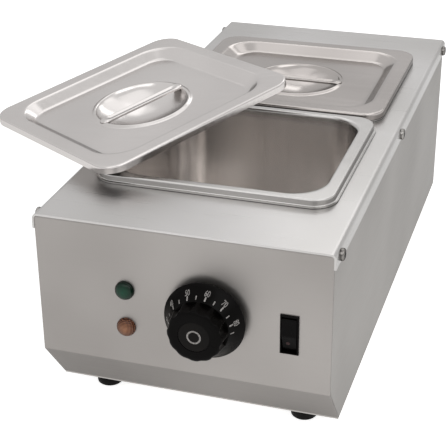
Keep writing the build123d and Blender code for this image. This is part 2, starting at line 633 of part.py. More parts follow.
pan_upper -= bowl(0)
pan_lower -= bowl(PAN_T)
mouth_w = PAN_MOUTH_W / 2 + 2
mouth_d = PAN_MOUTH_D / 2 + 2
pan_upper = fillet(edges_at(pan_upper, 0, mouth_w, mouth_d), 2.8)
pan_upper = fillet(edges_at(pan_upper, 0, outside=(PAN_RING_W / 2 - 1, PAN_RING_D / 2 - 1)), 1.8)
pan_lower = fillet(edges_at(pan_lower, -PAN_T, mouth_w, mouth_d), 2.0)
pan_lower = fillet(edges_at(pan_lower, -PAN_T, outside=(PAN_RING_W / 2 - 2, PAN_RING_D / 2 - 2)), 1.0)
pan = pan_upper - pan_lower
pan -= slab(PAN_W + 5, PAN_D + 5, 5, -PAN_DEEP - 13, -RIM_H) - bowl(PAN_T)
hem = slab(PAN_W, PAN_D, RIM_R + HEM_OUT, -RIM_H, -RIM_H + HEM_H)
hem -= slab(inner_w, inner_d, RIM_R - PAN_T, -RIM_H - 1, 0)
pan += hem
nodes["front_pan"] = Pos(0, PAN_Y[0], RIM_TOP_Z) * pan
nodes["rear_pan"] = Pos(0, PAN_Y[1], RIM_TOP_Z) * pan

# Lids: skirted border, sloping recess, round cup for the fingers, bar across it


def lid_room(grow, top):
    """The recess and cup of a lid, from one level down; grow moves its walls out."""
    slope = 2 * grow * 0.344
    mouth = RectangleRounded(RECESS_W + slope, RECESS_D + slope, RECESS_R)
    floor = RectangleRounded(RECESS_FLOOR_W + slope, RECESS_FLOOR_D + slope, RECESS_R - 9)
    level = top - RECESS_DEEP
    recess = loft([Pos(0, 0, top) * mouth, Pos(0, 0, level) * floor], ruled=True)
    ball = Pos(0, 0, CUP_BALL_R - RECESS_DEEP - CUP_DEEP) * Sphere(CUP_BALL_R + grow)
    return recess + (ball & block(-50, 50, -50, 50, level - 2 * CUP_DEEP, level))


lid_upper = slab(LID_W, LID_D, LID_R, -22, 0) - lid_room(0, 0)
lid_under = slab(LID_W - 2 * LID_T, LID_D - 2 * LID_T, LID_R - LID_T, -24, -LID_T)
lid_under -= lid_room(LID_T, -LID_T)
lid_upper = fillet(edges_at(lid_upper, 0, outside=(LID_W / 2 - 1, LID_D / 2 - 1)), 1.8)
lid_upper = fillet(edges_at(lid_upper, 0, RECESS_W / 2 + 1, RECESS_D / 2 + 1), 2.0)
lid_under = fillet(edges_at(lid_under, -LID_T, outside=(LID_W / 2 - 2, LID_D / 2 - 2)), 1.0)
lid_under = fillet(edges_at(lid_under, -LID_T, RECESS_W / 2 + 1, RECESS_D / 2 + 1), 1.6)
lid = lid_upper - lid_under
lid -= slab(LID_W + 5, LID_D + 5, 5, -25, -LID_SKIRT) - lid_room(LID_T, -LID_T)
bar = block(-BAR_L / 2, BAR_L / 2, -BAR_W / 2, BAR_W / 2, -RECESS_DEEP, -RECESS_DEEP + BAR_T)
bar = fillet(bar.edges().filter_by(Axis.Z), 3.0)
bar = fillet(bar.faces().sort_by(Axis.Z)[-1].edges(), 1.0)
closed = Pos(0, PAN_Y[1], LID_REST_Z)
turn_z, turn_y, turn_x = LOOSE_LID_TURN
askew = Pos(*LOOSE_LID) * Rot(0, 0, turn_z) * Rot(0, turn_y, 0) * Rot(turn_x, 0, 0)
nodes["front_lid"] = askew * lid
nodes["front_lid_handle"] = askew * bar
nodes["rear_lid"] = closed * lid
nodes["rear_lid_handle"] = closed * bar

# Wiring: brown from inlet and switch to thermostat, element and lamps, blue back,
# green and yellow to earth
WIRE_R = 1.0
WIRE_BEND = 1.6
pin_y = REAR_Y - 26
front_tab_y = FRONT_Y + 32
lamp_tab_y = FRONT_Y + 31
thermo_tab_y = thermo_y + 36
element_tab_y = ELEMENT_END_Y + 15
live_z = INLET_Z - 2
runs_live = [
    [
        (INLET_X + 7, pin_y, live_z), (INLET_X + 7, 192, live_z), (INLET_X + 12, 192, live_z),
        (INLET_X + 12, 192, 36), (90, 192, 36),
        (90, -184, 36), (90, -184, SWITCH_Z - 8), (SWITCH_X, -184, SWITCH_Z - 8),
        (SWITCH_X, front_tab_y, SWITCH_Z - 8),
    ],
    [
        (SWITCH_X, front_tab_y, SWITCH_Z + 8), (SWITCH_X, -184, SWITCH_Z + 8),
        (59, -184, SWITCH_Z + 8), (59, -184, CUTOUT_Z), (59, cut_y - 17, CUTOUT_Z),
    ],
    [
        (51, cut_y - 17, CUTOUT_Z), (51, -180.8, CUTOUT_Z), (DIAL_X - 7, -180.8, CUTOUT_Z),
        (DIAL_X - 7, thermo_tab_y, CUTOUT_Z),
    ],
    [
        (DIAL_X - 7, thermo_tab_y, DIAL_Z - 8), (DIAL_X - 7, -176, DIAL_Z - 8),
        (-92, -176, DIAL_Z - 8), (-92, -176, 38), (-92, 194, 38), (legs[0], 194, 38),
        (legs[0], 194, ELEMENT_Z), (legs[0], element_tab_y, ELEMENT_Z),
    ],
    [
        (SWITCH_X, front_tab_y, SWITCH_Z), (SWITCH_X, -186, SWITCH_Z), (LAMP_X - 2, -186, SWITCH_Z),
        (LAMP_X - 2, -186, LAMP_Z[1] + 1.4), (LAMP_X - 2, lamp_tab_y, LAMP_Z[1] + 1.4),
    ],
    [
        (LAMP_X - 2, lamp_tab_y, LAMP_Z[0]), (LAMP_X - 2, -181.8, LAMP_Z[0]),
        (LAMP_X - 2, -181.8, LAMP_Z[1] - 1.4), (LAMP_X - 2, lamp_tab_y, LAMP_Z[1] - 1.4),
    ],
]
runs_neutral = [
    [
        (INLET_X - 7, pin_y, live_z - 1.2), (INLET_X - 7, 192, live_z - 1.2), (INLET_X - 7, 192, ELEMENT_Z),
        (legs[3], 192, ELEMENT_Z), (legs[3], element_tab_y, ELEMENT_Z),
    ],
    [
        (INLET_X - 7, pin_y, live_z + 1.2), (INLET_X - 7, 188, live_z + 1.2), (30, 188, live_z + 1.2),
        (30, 210, live_z + 1.2), (30, 210, LIP_Z + 6), (14, 210, LIP_Z + 6), (14, 205, LIP_Z + 6),
    ],
    [
        (14, 189, LIP_Z + 6), (14, 176, LIP_Z + 6), (14, 176, 34), (86, 176, 34), (86, -178, 34),
        (86, -178, 72), (LAMP_X + 2, -178, 72), (LAMP_X + 2, -178, LAMP_Z[1] - 1.4),
        (LAMP_X + 2, lamp_tab_y, LAMP_Z[1] - 1.4),
    ],
    [
        (LAMP_X + 2, lamp_tab_y, LAMP_Z[0]), (LAMP_X + 2, -183.2, LAMP_Z[0]),
        (LAMP_X + 2, -183.2, LAMP_Z[1] + 1.4), (LAMP_X + 2, lamp_tab_y, LAMP_Z[1] + 1.4),
    ],
]
runs_earth = [
    [
        (INLET_X, pin_y, INLET_Z + 2), (INLET_X, 184, INLET_Z + 2), (INLET_X, 184, 30),
        (EARTH_X, 184, 30), (EARTH_X, 184, LIP_Z + 5), (EARTH_X, EARTH_Y - 2, LIP_Z + 5),
    ],
]
for name, runs in (("live", runs_live), ("neutral", runs_neutral), ("earth", runs_earth)):
    wires = [wire_run(points, WIRE_R, WIRE_BEND) for points in runs]
    nodes["wires_" + name] = Compound(children=wires)

for name, shape in nodes.items():
    export_step(shape, f"parts/{name}.step")
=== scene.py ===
# %% [markdown]
# # A countertop chocolate melter
# The machine is a long stainless steel box with two lift-out pans. The CAD model
# gives every piece its real place. This lesson dresses it: pressed steel lids and
# pans as smooth surfaces, a moulded dial with its numbers, lamps, a rocker switch,
# and finishes made from nodes. Shapes are written in millimetres and stored in metres.

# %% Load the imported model
import bmesh
import bpy
import json
import math
import numpy as np
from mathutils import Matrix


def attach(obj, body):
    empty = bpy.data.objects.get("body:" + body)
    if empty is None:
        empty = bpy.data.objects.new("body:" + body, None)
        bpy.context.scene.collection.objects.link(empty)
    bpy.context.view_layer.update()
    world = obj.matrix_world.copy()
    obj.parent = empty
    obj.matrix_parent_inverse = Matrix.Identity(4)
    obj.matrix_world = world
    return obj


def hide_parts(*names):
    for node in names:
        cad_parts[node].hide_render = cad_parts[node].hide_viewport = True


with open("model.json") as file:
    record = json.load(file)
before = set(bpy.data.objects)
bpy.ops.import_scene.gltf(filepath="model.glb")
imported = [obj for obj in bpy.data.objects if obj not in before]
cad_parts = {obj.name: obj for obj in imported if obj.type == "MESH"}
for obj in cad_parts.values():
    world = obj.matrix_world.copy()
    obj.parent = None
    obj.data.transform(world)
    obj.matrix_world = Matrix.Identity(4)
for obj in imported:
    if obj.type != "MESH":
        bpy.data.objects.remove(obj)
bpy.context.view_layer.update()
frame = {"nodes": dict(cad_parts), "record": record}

nodes = frame["nodes"]
MM = 0.001

# %% [markdown]
# ## The camera
# The view was solved from the straight edges of the housing: a long lens a metre
# away, high on the right. It comes first, so that each piece can be judged in it.

# %% Camera
lens = bpy.data.cameras.new("view")
lens.lens = 100.62
lens.sensor_width = 36.0
lens.shift_x = 0.00264
lens.shift_y = -0.00083
camera = bpy.data.objects.new("view", lens)
camera.location = (0.24991, -0.90067, 0.52362)
camera.rotation_euler = (math.radians(63.542), math.radians(0.529), math.radians(17.708))
bpy.context.scene.collection.objects.link(camera)
bpy.context.scene.camera = camera
print("Lens length, mm:", lens.lens)

# %% [markdown]
# ## Colours and nodes
# A colour picked from a screen is an sRGB value, while shaders work in linear
# light, so one function turns hex into linear. One small function adds any node
# with its settings and links, so a material reads as a short list of steps.

# %% Colour and node helpers
def linear(hex_code):
    """sRGB hex to linear RGBA: below 0.04045 divide by 12.92, above it a 2.4 power curve."""
    srgb = np.array([int(hex_code[i:i + 2], 16) / 255 for i in (1, 3, 5)])
    light = np.where(srgb <= 0.04045, srgb / 12.92, ((srgb + 0.055) / 1.055) ** 2.4)
    return (*light.tolist(), 1.0)


def put(tree, kind, settings=None, stops=(), **sockets):
    """Adds a node with its settings. A socket is named by its label, or as i and its number,
    and gets a value, a link, or a link to a node's first output. Stops are a ramp's
    (position, hex colour) pairs."""
    node = tree.nodes.new(kind)
    for key, value in (settings or {}).items():
        setattr(node, key, value)
    for position, colour in stops[1:-1]:
        node.color_ramp.elements.new(position).color = linear(colour)
    for index in (0, -1) if stops else ():
        node.color_ramp.elements[index].position = stops[index][0]
        node.color_ramp.elements[index].color = linear(stops[index][1])
    for key, value in sockets.items():
        numbered = key[0] == "i" and key[1:].isdigit()
        socket = node.inputs[int(key[1:])] if numbered else node.inputs[key.replace("_", " ")]
        value = value.outputs[0] if isinstance(value, bpy.types.Node) else value
        if isinstance(value, bpy.types.NodeSocket):
            tree.links.new(value, socket)
        else:
            socket.default_value = value
    return node


def new_material(name):
    """An empty node material, its tree, and the Object coordinates that its patterns read."""
    material = bpy.data.materials.new(name)
    material.use_nodes = True
    material.node_tree.nodes.clear()
    place = material.node_tree.nodes.new("ShaderNodeTexCoord").outputs["Object"]
    return material, material.node_tree, place


print("Middle grey in linear light:", round(linear("#808080")[0], 3))

# %% [markdown]
# ## Stainless steel
# The sheet is 304 stainless with a fine satin polish. Its scratches are about
# 0.05 mm apart, far finer than a pixel, so they are drawn 1 to 2 mm apart and
# faint. They run one way, which a noise stretched along the grain gives through
# roughness and a slight bump. A slow noise adds the soft clouds of a handled sheet.
# A metal has a second colour, its edge tint, for where it is seen at a glance.
# The upright sheets are seen so, and their darker tint is painted shade: it dims the
# worktop's light that they mirror at a glance.

# %% Steel from nodes
PAINTED_LIGHT_TOP, PAINTED_LIGHT_FULL = 161.0, 154.0  # heights between which the painted light inside a pan fades in
GLOSS_SWING = 0.03  # how far the scratches move the roughness either way


def satin_steel(
    name, shade, worn, rough, grain=(8, 700, 700), cloud=9.0, bump=0.008, lines=0.12,
    deep=None, edge="#D8D8D8",
):
    """Polished sheet between two shades. grain is the scratches' repeats a metre along X, Y
    and Z, cloud those of the clouds, and lines the scratches' share in the tint. deep is a
    lighter shade painted on the walls inside a pan below its mouth: painted light, for the
    light that those walls throw on each other. edge is how far the steel falls short of a
    perfect mirror where it is seen edge on."""
    material, tree, place = new_material(name)
    stretched = put(tree, "ShaderNodeMapping", Vector=place, Scale=grain)
    scratches = put(
        tree, "ShaderNodeTexNoise", Vector=stretched, Scale=1.0, Detail=3.0, Roughness=0.6
    )
    clouds = put(tree, "ShaderNodeTexNoise", Vector=place, Scale=cloud, Detail=1.5)
    mixed = put(
        tree, "ShaderNodeMix", {"data_type": "FLOAT"}, i0=lines, i2=clouds, i3=scratches
    )
    tint = put(tree, "ShaderNodeValToRGB", stops=[(0.36, worn), (0.64, shade)], Fac=mixed)
    # Below the mouth the inside walls are painted lighter: painted light, for the light they throw
    # on each other.
    if deep:
        up = put(tree, "ShaderNodeSeparateXYZ", Vector=place).outputs["Z"]
        below = put(
            tree, "ShaderNodeMapRange", Value=up,
            From_Min=PAINTED_LIGHT_TOP * MM, From_Max=PAINTED_LIGHT_FULL * MM,
        )
        tint = put(
            tree, "ShaderNodeMix", {"data_type": "RGBA"}, i0=below, i6=tint, i7=linear(deep)
        ).outputs[2]
    gloss = put(
        tree, "ShaderNodeMapRange", Value=scratches, From_Min=0.3, From_Max=0.7,
        To_Min=rough - GLOSS_SWING, To_Max=rough + GLOSS_SWING,
    )
    relief = put(tree, "ShaderNodeBump", Height=scratches, Strength=bump, Distance=0.0005)
    steel = put(
        tree, "ShaderNodeBsdfPrincipled", Metallic=1.0, Base_Color=tint, Roughness=gloss,
        Normal=relief, Specular_Tint=linear(edge),
    )
    put(tree, "ShaderNodeOutputMaterial", Surface=steel)
    return material


# The height below which the painted light inside a pan starts.
print("A pan's mouth is polished down to, mm:", PAINTED_LIGHT_TOP)

# %% [markdown]
# The grain follows how each piece was made: across the bent cover, level on the
# upright sheets, up the drawn walls of the pans, and every way on a small screw.

# %% Metal finishes
upright = {"grain": (8, 8, 700)}
drawn = {"grain": (60, 60, 4), "bump": 0.0, "lines": 0.05}
pressed = {"grain": (10, 300, 300), "bump": 0.0, "lines": 0.06}
finish = {
    # Bent sheet, brushed from side to side: a pale satin with faint streaks.
    "cover_steel": satin_steel("Satin 304 cover sheet", "#BCBAB9", "#B1AFAD", 0.3),
    # The same sheet standing up: level streaks, a hazy picture of the worktop, and a darker edge
    # tint that is painted shade.
    "panel_steel": satin_steel(
        "Satin 304 panel sheet", "#B2AFAC", "#A6A3A0", 0.36, edge="#B2B2B2", **upright
    ),
    # The front is rougher, so flatter, and painted a shade darker than the sides: painted shade,
    # for the darker surroundings it mirrors. Its edge tint is darker than bare steel's, as painted
    # shade too.
    "painted_shade_front_steel": satin_steel(
        "Satin 304 front sheet, painted shade", "#9B9794", "#8F8B88", 0.42, edge="#BEBEBE", **upright
    ),
    # Unpolished sheet inside the housing: even and dull.
    "tank_steel": satin_steel("Drawn 304 tank sheet", "#BDBAB7", "#A9A6A3", 0.36),
    # Drawn through a die: marks run up the wall, over a soft mirror.
    "pan_steel": satin_steel("Deep-drawn 304 pan", "#B9B7B5", "#AFADAB", 0.24, **drawn),
    # The same wall inside, painted lighter below the mouth: painted light, for the light that the
    # walls throw on each other.
    "pan_inside_painted_light_steel": satin_steel(
        "Deep-drawn 304 pan, inside, with painted light", "#B9B7B5", "#AFADAB", 0.24, deep="#E6E2DF", **drawn
    ),
    # Pressed between polished dies: the shiniest sheet, so it shows the room most.
    "lid_steel": satin_steel("Pressed 304 lid", "#AFAAA7", "#A5A09D", 0.2, **pressed),
    # The loose lid: the same steel and gloss, painted a shade lighter as painted light, for the
    # brighter light that falls on it.
    "painted_light_lid_steel": satin_steel(
        "Pressed 304 lid, painted lighter", "#C7C3C1", "#BDB9B7", 0.2, **pressed
    ),
    # Cold-headed and tumbled: small glints beside dark spots.
    "screw_steel": satin_steel(
        "Bright screw steel", "#A5A3A0", "#6F6C69", 0.16, grain=(400, 400, 400), edge="#8C8C8C"
    ),
    # Plated: a cool grey bloom in small patches.
    "zinc": satin_steel(
        "Zinc plating", "#C2C5C1", "#A7ABA8", 0.35, grain=(500, 500, 500), cloud=60.0
    ),
    # Steel that runs hot: brown patches on a dull sheath.
    "element_steel": satin_steel(
        "Heat-tinted element sheath", "#948F88", "#7B6F66", 0.42, cloud=25.0
    ),
    # Turned bar: warm yellow with a fine, even grain.
    "brass": satin_steel(
        "Turned brass", "#BE9A55", "#A3803F", 0.3, grain=(600, 600, 600), cloud=50.0
    ),
    # Drawn tube: reddish, with streaks along its run.
    "copper": satin_steel(
        "Drawn copper tube", "#B57448", "#97592F", 0.32, grain=(20, 600, 600), cloud=40.0
    ),
}
print("Metals:", len(finish))

# %% [markdown]
# ## Plastics, rubber and insulation
# The dial, rocker and inlet are injection moulded in black plastic with a fine
# spark-eroded grain of about 0.3 mm, drawn at 0.8 mm. The grain breaks up the
# gloss, and rubbed places shine a little more. Rubber is duller, glass fibre board
# is a coarse matt felt, and wire insulation is smooth and slightly glossy. Plastic
# has an IOR of about 1.5. The black pieces are matched to a lower one, because the
# lamps here are large panels, which would turn them grey.

# %% Mouldings from nodes
def moulded(name, shade, worn, rough, grain=1200.0, bump=0.1, ior=1.5):
    """Solid-coloured moulding with a fine grain, grain repeats a metre, and rubbed patches
    about 20 mm across."""
    material, tree, place = new_material(name)
    fine = put(tree, "ShaderNodeTexNoise", Vector=place, Scale=grain, Detail=2.0)
    patches = put(tree, "ShaderNodeTexNoise", Vector=place, Scale=45.0, Detail=2.0)
    mixed = put(tree, "ShaderNodeMix", {"data_type": "FLOAT"}, i0=0.3, i2=patches, i3=fine)
    tint = put(tree, "ShaderNodeValToRGB", stops=[(0.35, worn), (0.65, shade)], Fac=mixed)
    gloss = put(
        tree, "ShaderNodeMapRange", Value=patches, From_Min=0.3, From_Max=0.7,
        To_Min=rough - 0.06, To_Max=rough + 0.08,
    )
    relief = put(tree, "ShaderNodeBump", Height=fine, Strength=bump, Distance=0.0003)
    surface = put(
        tree, "ShaderNodeBsdfPrincipled", Base_Color=tint, IOR=ior, Roughness=gloss,
        Normal=relief,
    )
    put(tree, "ShaderNodeOutputMaterial", Surface=surface)
    return material


finish.update({
    # Spark-eroded mould: deep black whose highlights stay soft.
    "black_plastic": moulded("Spark-grained black ABS", "#0B0909", "#070605", 0.3, ior=1.13),
    # The cap of the dial, from a smoother mould: a little greyer.
    "disc_plastic": moulded("Satin black dial disc", "#14110F", "#0D0B0A", 0.3, ior=1.17),
    # Polished mould: hardly any grain, and small sharp highlights.
    "rocker_plastic": moulded(
        "Polished black nylon rocker", "#090707", "#050404", 0.24, bump=0.03, ior=1.14
    ),
    # Rubber: matt, coarse and nearly without a highlight.
    "rubber": moulded(
        "Moulded black rubber", "#100E0D", "#0A0908", 0.7, grain=900.0, bump=0.3, ior=1.25
    ),
    # Filled nylon of the terminal block and lamp holders: off-white and chalky.
    "white_plastic": moulded("White ceramic-filled nylon", "#DCD9D0", "#C9C5BB", 0.5),
    # Pressed phenolic of the thermostat: cream, with a faint mottle.
    "thermo_plastic": moulded("Cream phenolic", "#CDC6B2", "#B9B19B", 0.5),
    # Pressed fibre: a straw-coloured felt that never shines.
    "insulation": moulded(
        "Glass fibre board", "#DDD7C8", "#B9B09B", 0.9, grain=500.0, bump=0.8
    ),
    # Extruded sleeves in the three mains colours: smooth, with a slight gloss.
    "wire_brown": moulded("Brown wire insulation", "#613823", "#4B2A19", 0.4, bump=0.04),
    "wire_blue": moulded("Blue wire insulation", "#28549A", "#1E437C", 0.4, bump=0.04),
    "wire_green": moulded("Green earth wire insulation", "#558736", "#456F2A", 0.4, bump=0.04),
})
print("All finishes so far:", len(finish))

# %% [markdown]
# ## Pilot lamp lenses
# A lens is a small dome of tinted polycarbonate with a diamond pattern pressed
# into its inside. Two crossed sine waves 1.3 mm apart give the diamonds. The dome
# is thicker to look through at its edge, so a real lens darkens there. This lens is opaque,
# so the darkening is painted shade in its colour: the distance from the lamp's own centre,
# in Object coordinates, gives it. Its IOR is matched below
# polycarbonate's 1.58, so that the panels mirrored in it don't wash out its colour.

# %% Lens material
PANEL_Y = -222.0  # face of the front panel
LAMP_X, LAMP_R = -39.8, 6.8  # middle and radius of the lenses
LAMP_Z = {"green": 108.3, "amber": 79.7}
SLANT = 0.7071  # sine of 45 degrees, for waves along the diagonals


def tinted_lens(name, centre, bright, middle, dark, pitch=1.3, mesh=0.06):
    """Moulded lens: centre is the lamp's point in mm, pitch the diamonds' spacing in mm, and
    mesh their contrast. Its colour runs from bright in the middle to dark at the edge, as
    painted shade for the thicker dome at its edge."""
    material, tree, place = new_material(name)
    shift = tuple(-value * MM for value in centre)
    local = put(tree, "ShaderNodeVectorMath", {"operation": "ADD"}, i0=place, i1=shift)
    to_rim = (1000 / LAMP_R, 0, 1000 / LAMP_R)
    flat = put(tree, "ShaderNodeVectorMath", {"operation": "MULTIPLY"}, i0=local, i1=to_rim)
    reach = put(tree, "ShaderNodeVectorMath", {"operation": "LENGTH"}, i0=flat)
    # The darker edge is painted shade, growing with the distance from the lens's middle.
    edge = put(
        tree, "ShaderNodeMath", {"operation": "MULTIPLY_ADD"},
        i0=reach.outputs["Value"], i1=0.7, i2=0.2,
    )
    split = put(tree, "ShaderNodeSeparateXYZ", Vector=local)
    step = 2 * math.pi / (pitch * MM)
    waves = []
    for kind in ("ADD", "SUBTRACT"):
        diagonal = put(
            tree, "ShaderNodeMath", {"operation": kind},
            i0=split.outputs["X"], i1=split.outputs["Z"],
        )
        scaled = put(
            tree, "ShaderNodeMath", {"operation": "MULTIPLY"}, i0=diagonal, i1=step * SLANT
        )
        waves.append(put(tree, "ShaderNodeMath", {"operation": "SINE"}, i0=scaled))
    diamonds = put(tree, "ShaderNodeMath", {"operation": "MULTIPLY"}, i0=waves[0], i1=waves[1])
    shade = put(
        tree, "ShaderNodeMath", {"operation": "MULTIPLY_ADD"}, i0=diamonds, i1=mesh, i2=edge
    )
    tint = put(
        tree, "ShaderNodeValToRGB", stops=[(0.0, bright), (0.55, middle), (0.92, dark)],
        Fac=shade,
    )
    relief = put(tree, "ShaderNodeBump", Height=diamonds, Strength=0.2, Distance=0.0004)
    lens_body = put(
        tree, "ShaderNodeBsdfPrincipled", Base_Color=tint, Roughness=0.2, IOR=1.2,
        Coat_Weight=0.2, Coat_Roughness=0.05, Normal=relief,
    )
    put(tree, "ShaderNodeOutputMaterial", Surface=lens_body)
    return material


# Dark bottle green: its diamonds hardly show while it is off.
finish["lens_green"] = tinted_lens(
    "Green polycarbonate lens", (LAMP_X, PANEL_Y, LAMP_Z["green"]),
    "#12573F", "#0D3F2B", "#041109",
)
# Pale amber: clearer, so that the diamonds stand out.
finish["lens_amber"] = tinted_lens(
    "Amber polycarbonate lens", (LAMP_X, PANEL_Y, LAMP_Z["amber"]),
    "#D29B75", "#8C5840", "#3C2116", mesh=0.6,
)
print("Lens centres, mm:", LAMP_X, LAMP_Z)

# %% [markdown]
# ## Finishes on the CAD pieces
# Each CAD node already names its finish in the imported record, so one pass gives
# every one of them its material. Only the front panel takes its own steel: rougher, and with
# painted shade that makes it darker.
# Their own shape stays as it is.

# %% Dress every CAD node
slot_of = {row["node"]: row["material_slot"] for row in frame["record"]["subparts"]}
finish_of = {**slot_of, "front_panel": "painted_shade_front_steel"}
for node_name, thing in nodes.items():
    thing.data.materials.clear()
    thing.data.materials.append(finish[finish_of[node_name]])
print("CAD nodes dressed:", len(slot_of))

# %% [markdown]
# ## Surfaces from arrays
# Pressed sheet is a profile carried round a rounded rectangle. A station holds the
# rectangle's width, depth and corner radius at one height, so a list of stations is
# a whole dish. Every loop has the same number of points, so loops join as quads,
# even where a rectangle turns into a round cup.

# %% Rounded rectangles
ARC = 18  # points on each corner


def rings(stations):
    """Rounded rectangles in space: each corner is a quarter circle centred one radius in from
    its two sides, with ARC points at the middles of equal steps of angle. Stations are
    (width, depth, radius, height)."""
    width, depth, radius, height = (
        column[:, None] for column in np.asarray(stations, float).T
    )
    step = (np.arange(ARC) + 0.5) / ARC * (math.pi / 2)
    angle = (np.arange(4)[:, None] * (math.pi / 2) + step).reshape(1, -1)
    x = np.repeat([1, -1, -1, 1], ARC) * (width / 2 - radius) + radius * np.cos(angle)
    y = np.repeat([1, 1, -1, -1], ARC) * (depth / 2 - radius) + radius * np.sin(angle)
    return np.stack([x, y, np.broadcast_to(height, x.shape)], axis=-1)


print("Points in each loop:", 4 * ARC)

# %% [markdown]
# Sheet never turns a sharp corner. Each corner of a profile becomes a short
# parabola, which starts and ends along the two straight runs that it joins.

# %% Rounded bends
def soften(stations, reach, steps=6):
    """Rounds each inner corner P of a profile with the parabola (1-u)^2 A + 2u(1-u) P + u^2 B,
    where A and B lie reach mm before and after P on its two runs, or just short of their
    middles where a run is short."""
    profile = np.asarray(stations, float)
    before, corner, after = profile[:-2], profile[1:-1], profile[2:]
    reach = np.asarray(reach, float)[:, None]
    ends = []
    for run in (before - corner, after - corner):
        length = np.hypot(run[:, :1] / 2, run[:, -1:])
        ends.append((corner + run * np.minimum(reach / length, 0.49))[:, None])
    u = np.linspace(0, 1, steps)[None, :, None]
    arcs = (1 - u) ** 2 * ends[0] + 2 * u * (1 - u) * corner[:, None] + u**2 * ends[1]
    return np.vstack([profile[:1], arcs.reshape(-1, profile.shape[1]), profile[-1:]])


print("Points on one softened corner:", len(soften([(0, 0), (2, 0), (2, 1)], [0.5])) - 2)

# %% [markdown]
# The sheet's second side is the same profile one thickness away. Both sides make
# one closed line, so that the skin over it is a closed solid with real thickness.

# %% Sheet thickness and skin
SHEET = 0.8  # thickness of the lids' and pans' sheet
SLIMMEST = [0.4, 0.4, 0.2]  # smallest width, depth and radius of a loop


def sheet_wall(stations, thickness):
    """The profile, then the same profile moved one thickness behind its own normal and run
    backwards. With the tangent (t, s) in half width and height, the way back is (s, -t)."""
    run = np.gradient(np.column_stack([stations[:, 0] / 2, stations[:, 3]]), axis=0)
    run /= np.linalg.norm(run, axis=1, keepdims=True)
    out, down = thickness * run[:, 1], thickness * run[:, 0]
    back = stations + np.column_stack([2 * out, 2 * out, out, -down])
    back[:, :3] = np.maximum(back[:, :3], SLIMMEST)
    return np.vstack([stations, back[::-1]])


def skin(grid, around=True, poles=(False, False)):
    """Points and quads of a (rows, columns, 3) grid. around joins its last column to its
    first, and a pole closes its first or last row with a fan to the row's middle."""
    rows, columns = grid.shape[:2]
    index = np.arange(rows * columns).reshape(rows, columns)
    if around:
        left, right = index, np.roll(index, -1, axis=1)
    else:
        left, right = index[:, :-1], index[:, 1:]
    points = [grid.reshape(-1, 3)]
    faces = [np.stack([left[:-1], left[1:], right[1:], right[:-1]], axis=-1).reshape(-1, 4)]
    hub = rows * columns
    if poles[0]:
        points.append(grid[0].mean(axis=0)[None])
        faces.append(np.stack([np.full_like(left[0], hub), left[0], right[0]], axis=-1))
        hub += 1
    if poles[1]:
        points.append(grid[-1].mean(axis=0)[None])
        faces.append(np.stack([left[-1], np.full_like(left[0], hub), right[-1]], axis=-1))
    return np.vstack(points), faces


print("Sheet thickness, mm:", SHEET)

# %% [markdown]
# A piece is one mesh at the origin, with its place in its points. Points that meet
# are merged, which closes every seam, and the normals are then turned outwards.

# %% From arrays to a piece
MERGED = 2e-6  # points closer than this, in metres, become one


def make_piece(name, skins, body, slot, stands_for=(), sharp=40, place=None, material=None):
    """One mesh from skins in millimetres: merged, closed, smooth up to a sharp angle, and
    riding on a body."""
    points = np.vstack([part[0] for part in skins])
    if place is not None:
        points = place(points)
    starts = np.cumsum([0] + [len(part[0]) for part in skins[:-1]])
    blocks = [block + start for start, part in zip(starts, skins) for block in part[1]]
    mesh = bpy.data.meshes.new(name)
    mesh.from_pydata(points * MM, [], [row for block in blocks for row in block.tolist()])
    work = bmesh.new()
    work.from_mesh(mesh)
    bmesh.ops.remove_doubles(work, verts=work.verts, dist=MERGED)
    bmesh.ops.recalc_face_normals(work, faces=work.faces)
    work.to_mesh(mesh)
    work.free()
    mesh.shade_smooth()
    mesh.set_sharp_from_angle(angle=math.radians(sharp))
    mesh.materials.append(material or finish[slot])
    made = bpy.data.objects.new(name, mesh)
    bpy.context.scene.collection.objects.link(made)
    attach(made, body)
    if stands_for:
        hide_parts(*stands_for)
    print(name, len(mesh.vertices), "points")
    return made


# %% [markdown]
# ## The lids
# A gastronorm lid is one blank of 0.8 mm sheet: a turned-down skirt, a flat border,
# a sloping wall to a sunk field, and a round cup where fingers reach under a bar.
# The cup is a slice of a ball: its floor lies ball - sqrt(ball^2 - r^2) above its
# lowest point, where ball = (R^2 + deep^2) / (2 deep).

# %% Lid profile
LID_W, LID_D, LID_R = 176.0, 162.0, 17.0  # outline and its corner radius
SKIRT = 5.5  # drop of the turned-down edge
SUNK = 7.0  # depth of the field below the border
CUP_R, CUP_DEEP = 36.0, 12.0  # radius and depth of the cup
BEAD = 1.2  # height of the raised ring around the cup
ball = (CUP_R**2 + CUP_DEEP**2) / (2 * CUP_DEEP)

cup_r = np.linspace(1.0, CUP_R - 0.9, 14)
cup_height = ball - SUNK - CUP_DEEP - np.sqrt(ball**2 - cup_r**2)
cup = np.column_stack([2 * cup_r, 2 * cup_r, cup_r, cup_height])
field = soften(
    [
        cup[-1],
        (2 * CUP_R + 0.6, 2 * CUP_R + 0.6, CUP_R + 0.3, -SUNK + BEAD),
        (2 * CUP_R + 3.2, 2 * CUP_R + 3.2, CUP_R + 1.6, -SUNK + BEAD),
        (2 * CUP_R + 7.0, 2 * CUP_R + 7.0, CUP_R + 3.5, -SUNK),
        (124.0, 112.0, 14.0, -SUNK),
        (134.0, 122.0, 17.0, -SUNK),
        (152.0, 138.0, 26.0, 0.0),
        (158.0, 144.0, 25.0, 0.0),
        (LID_W - 5.0, LID_D - 5.0, LID_R - 2.5, 0.0),
        (LID_W, LID_D, LID_R, 0.0),
        (LID_W, LID_D, LID_R, -SKIRT),
    ],
    [0.8, 0.8, 1.2, 0.5, 2.2, 2.0, 0.5, 0.5, 1.9],
)
lid_skin = skin(rings(sheet_wall(np.vstack([cup[:-1], field]), SHEET)), poles=(True, True))
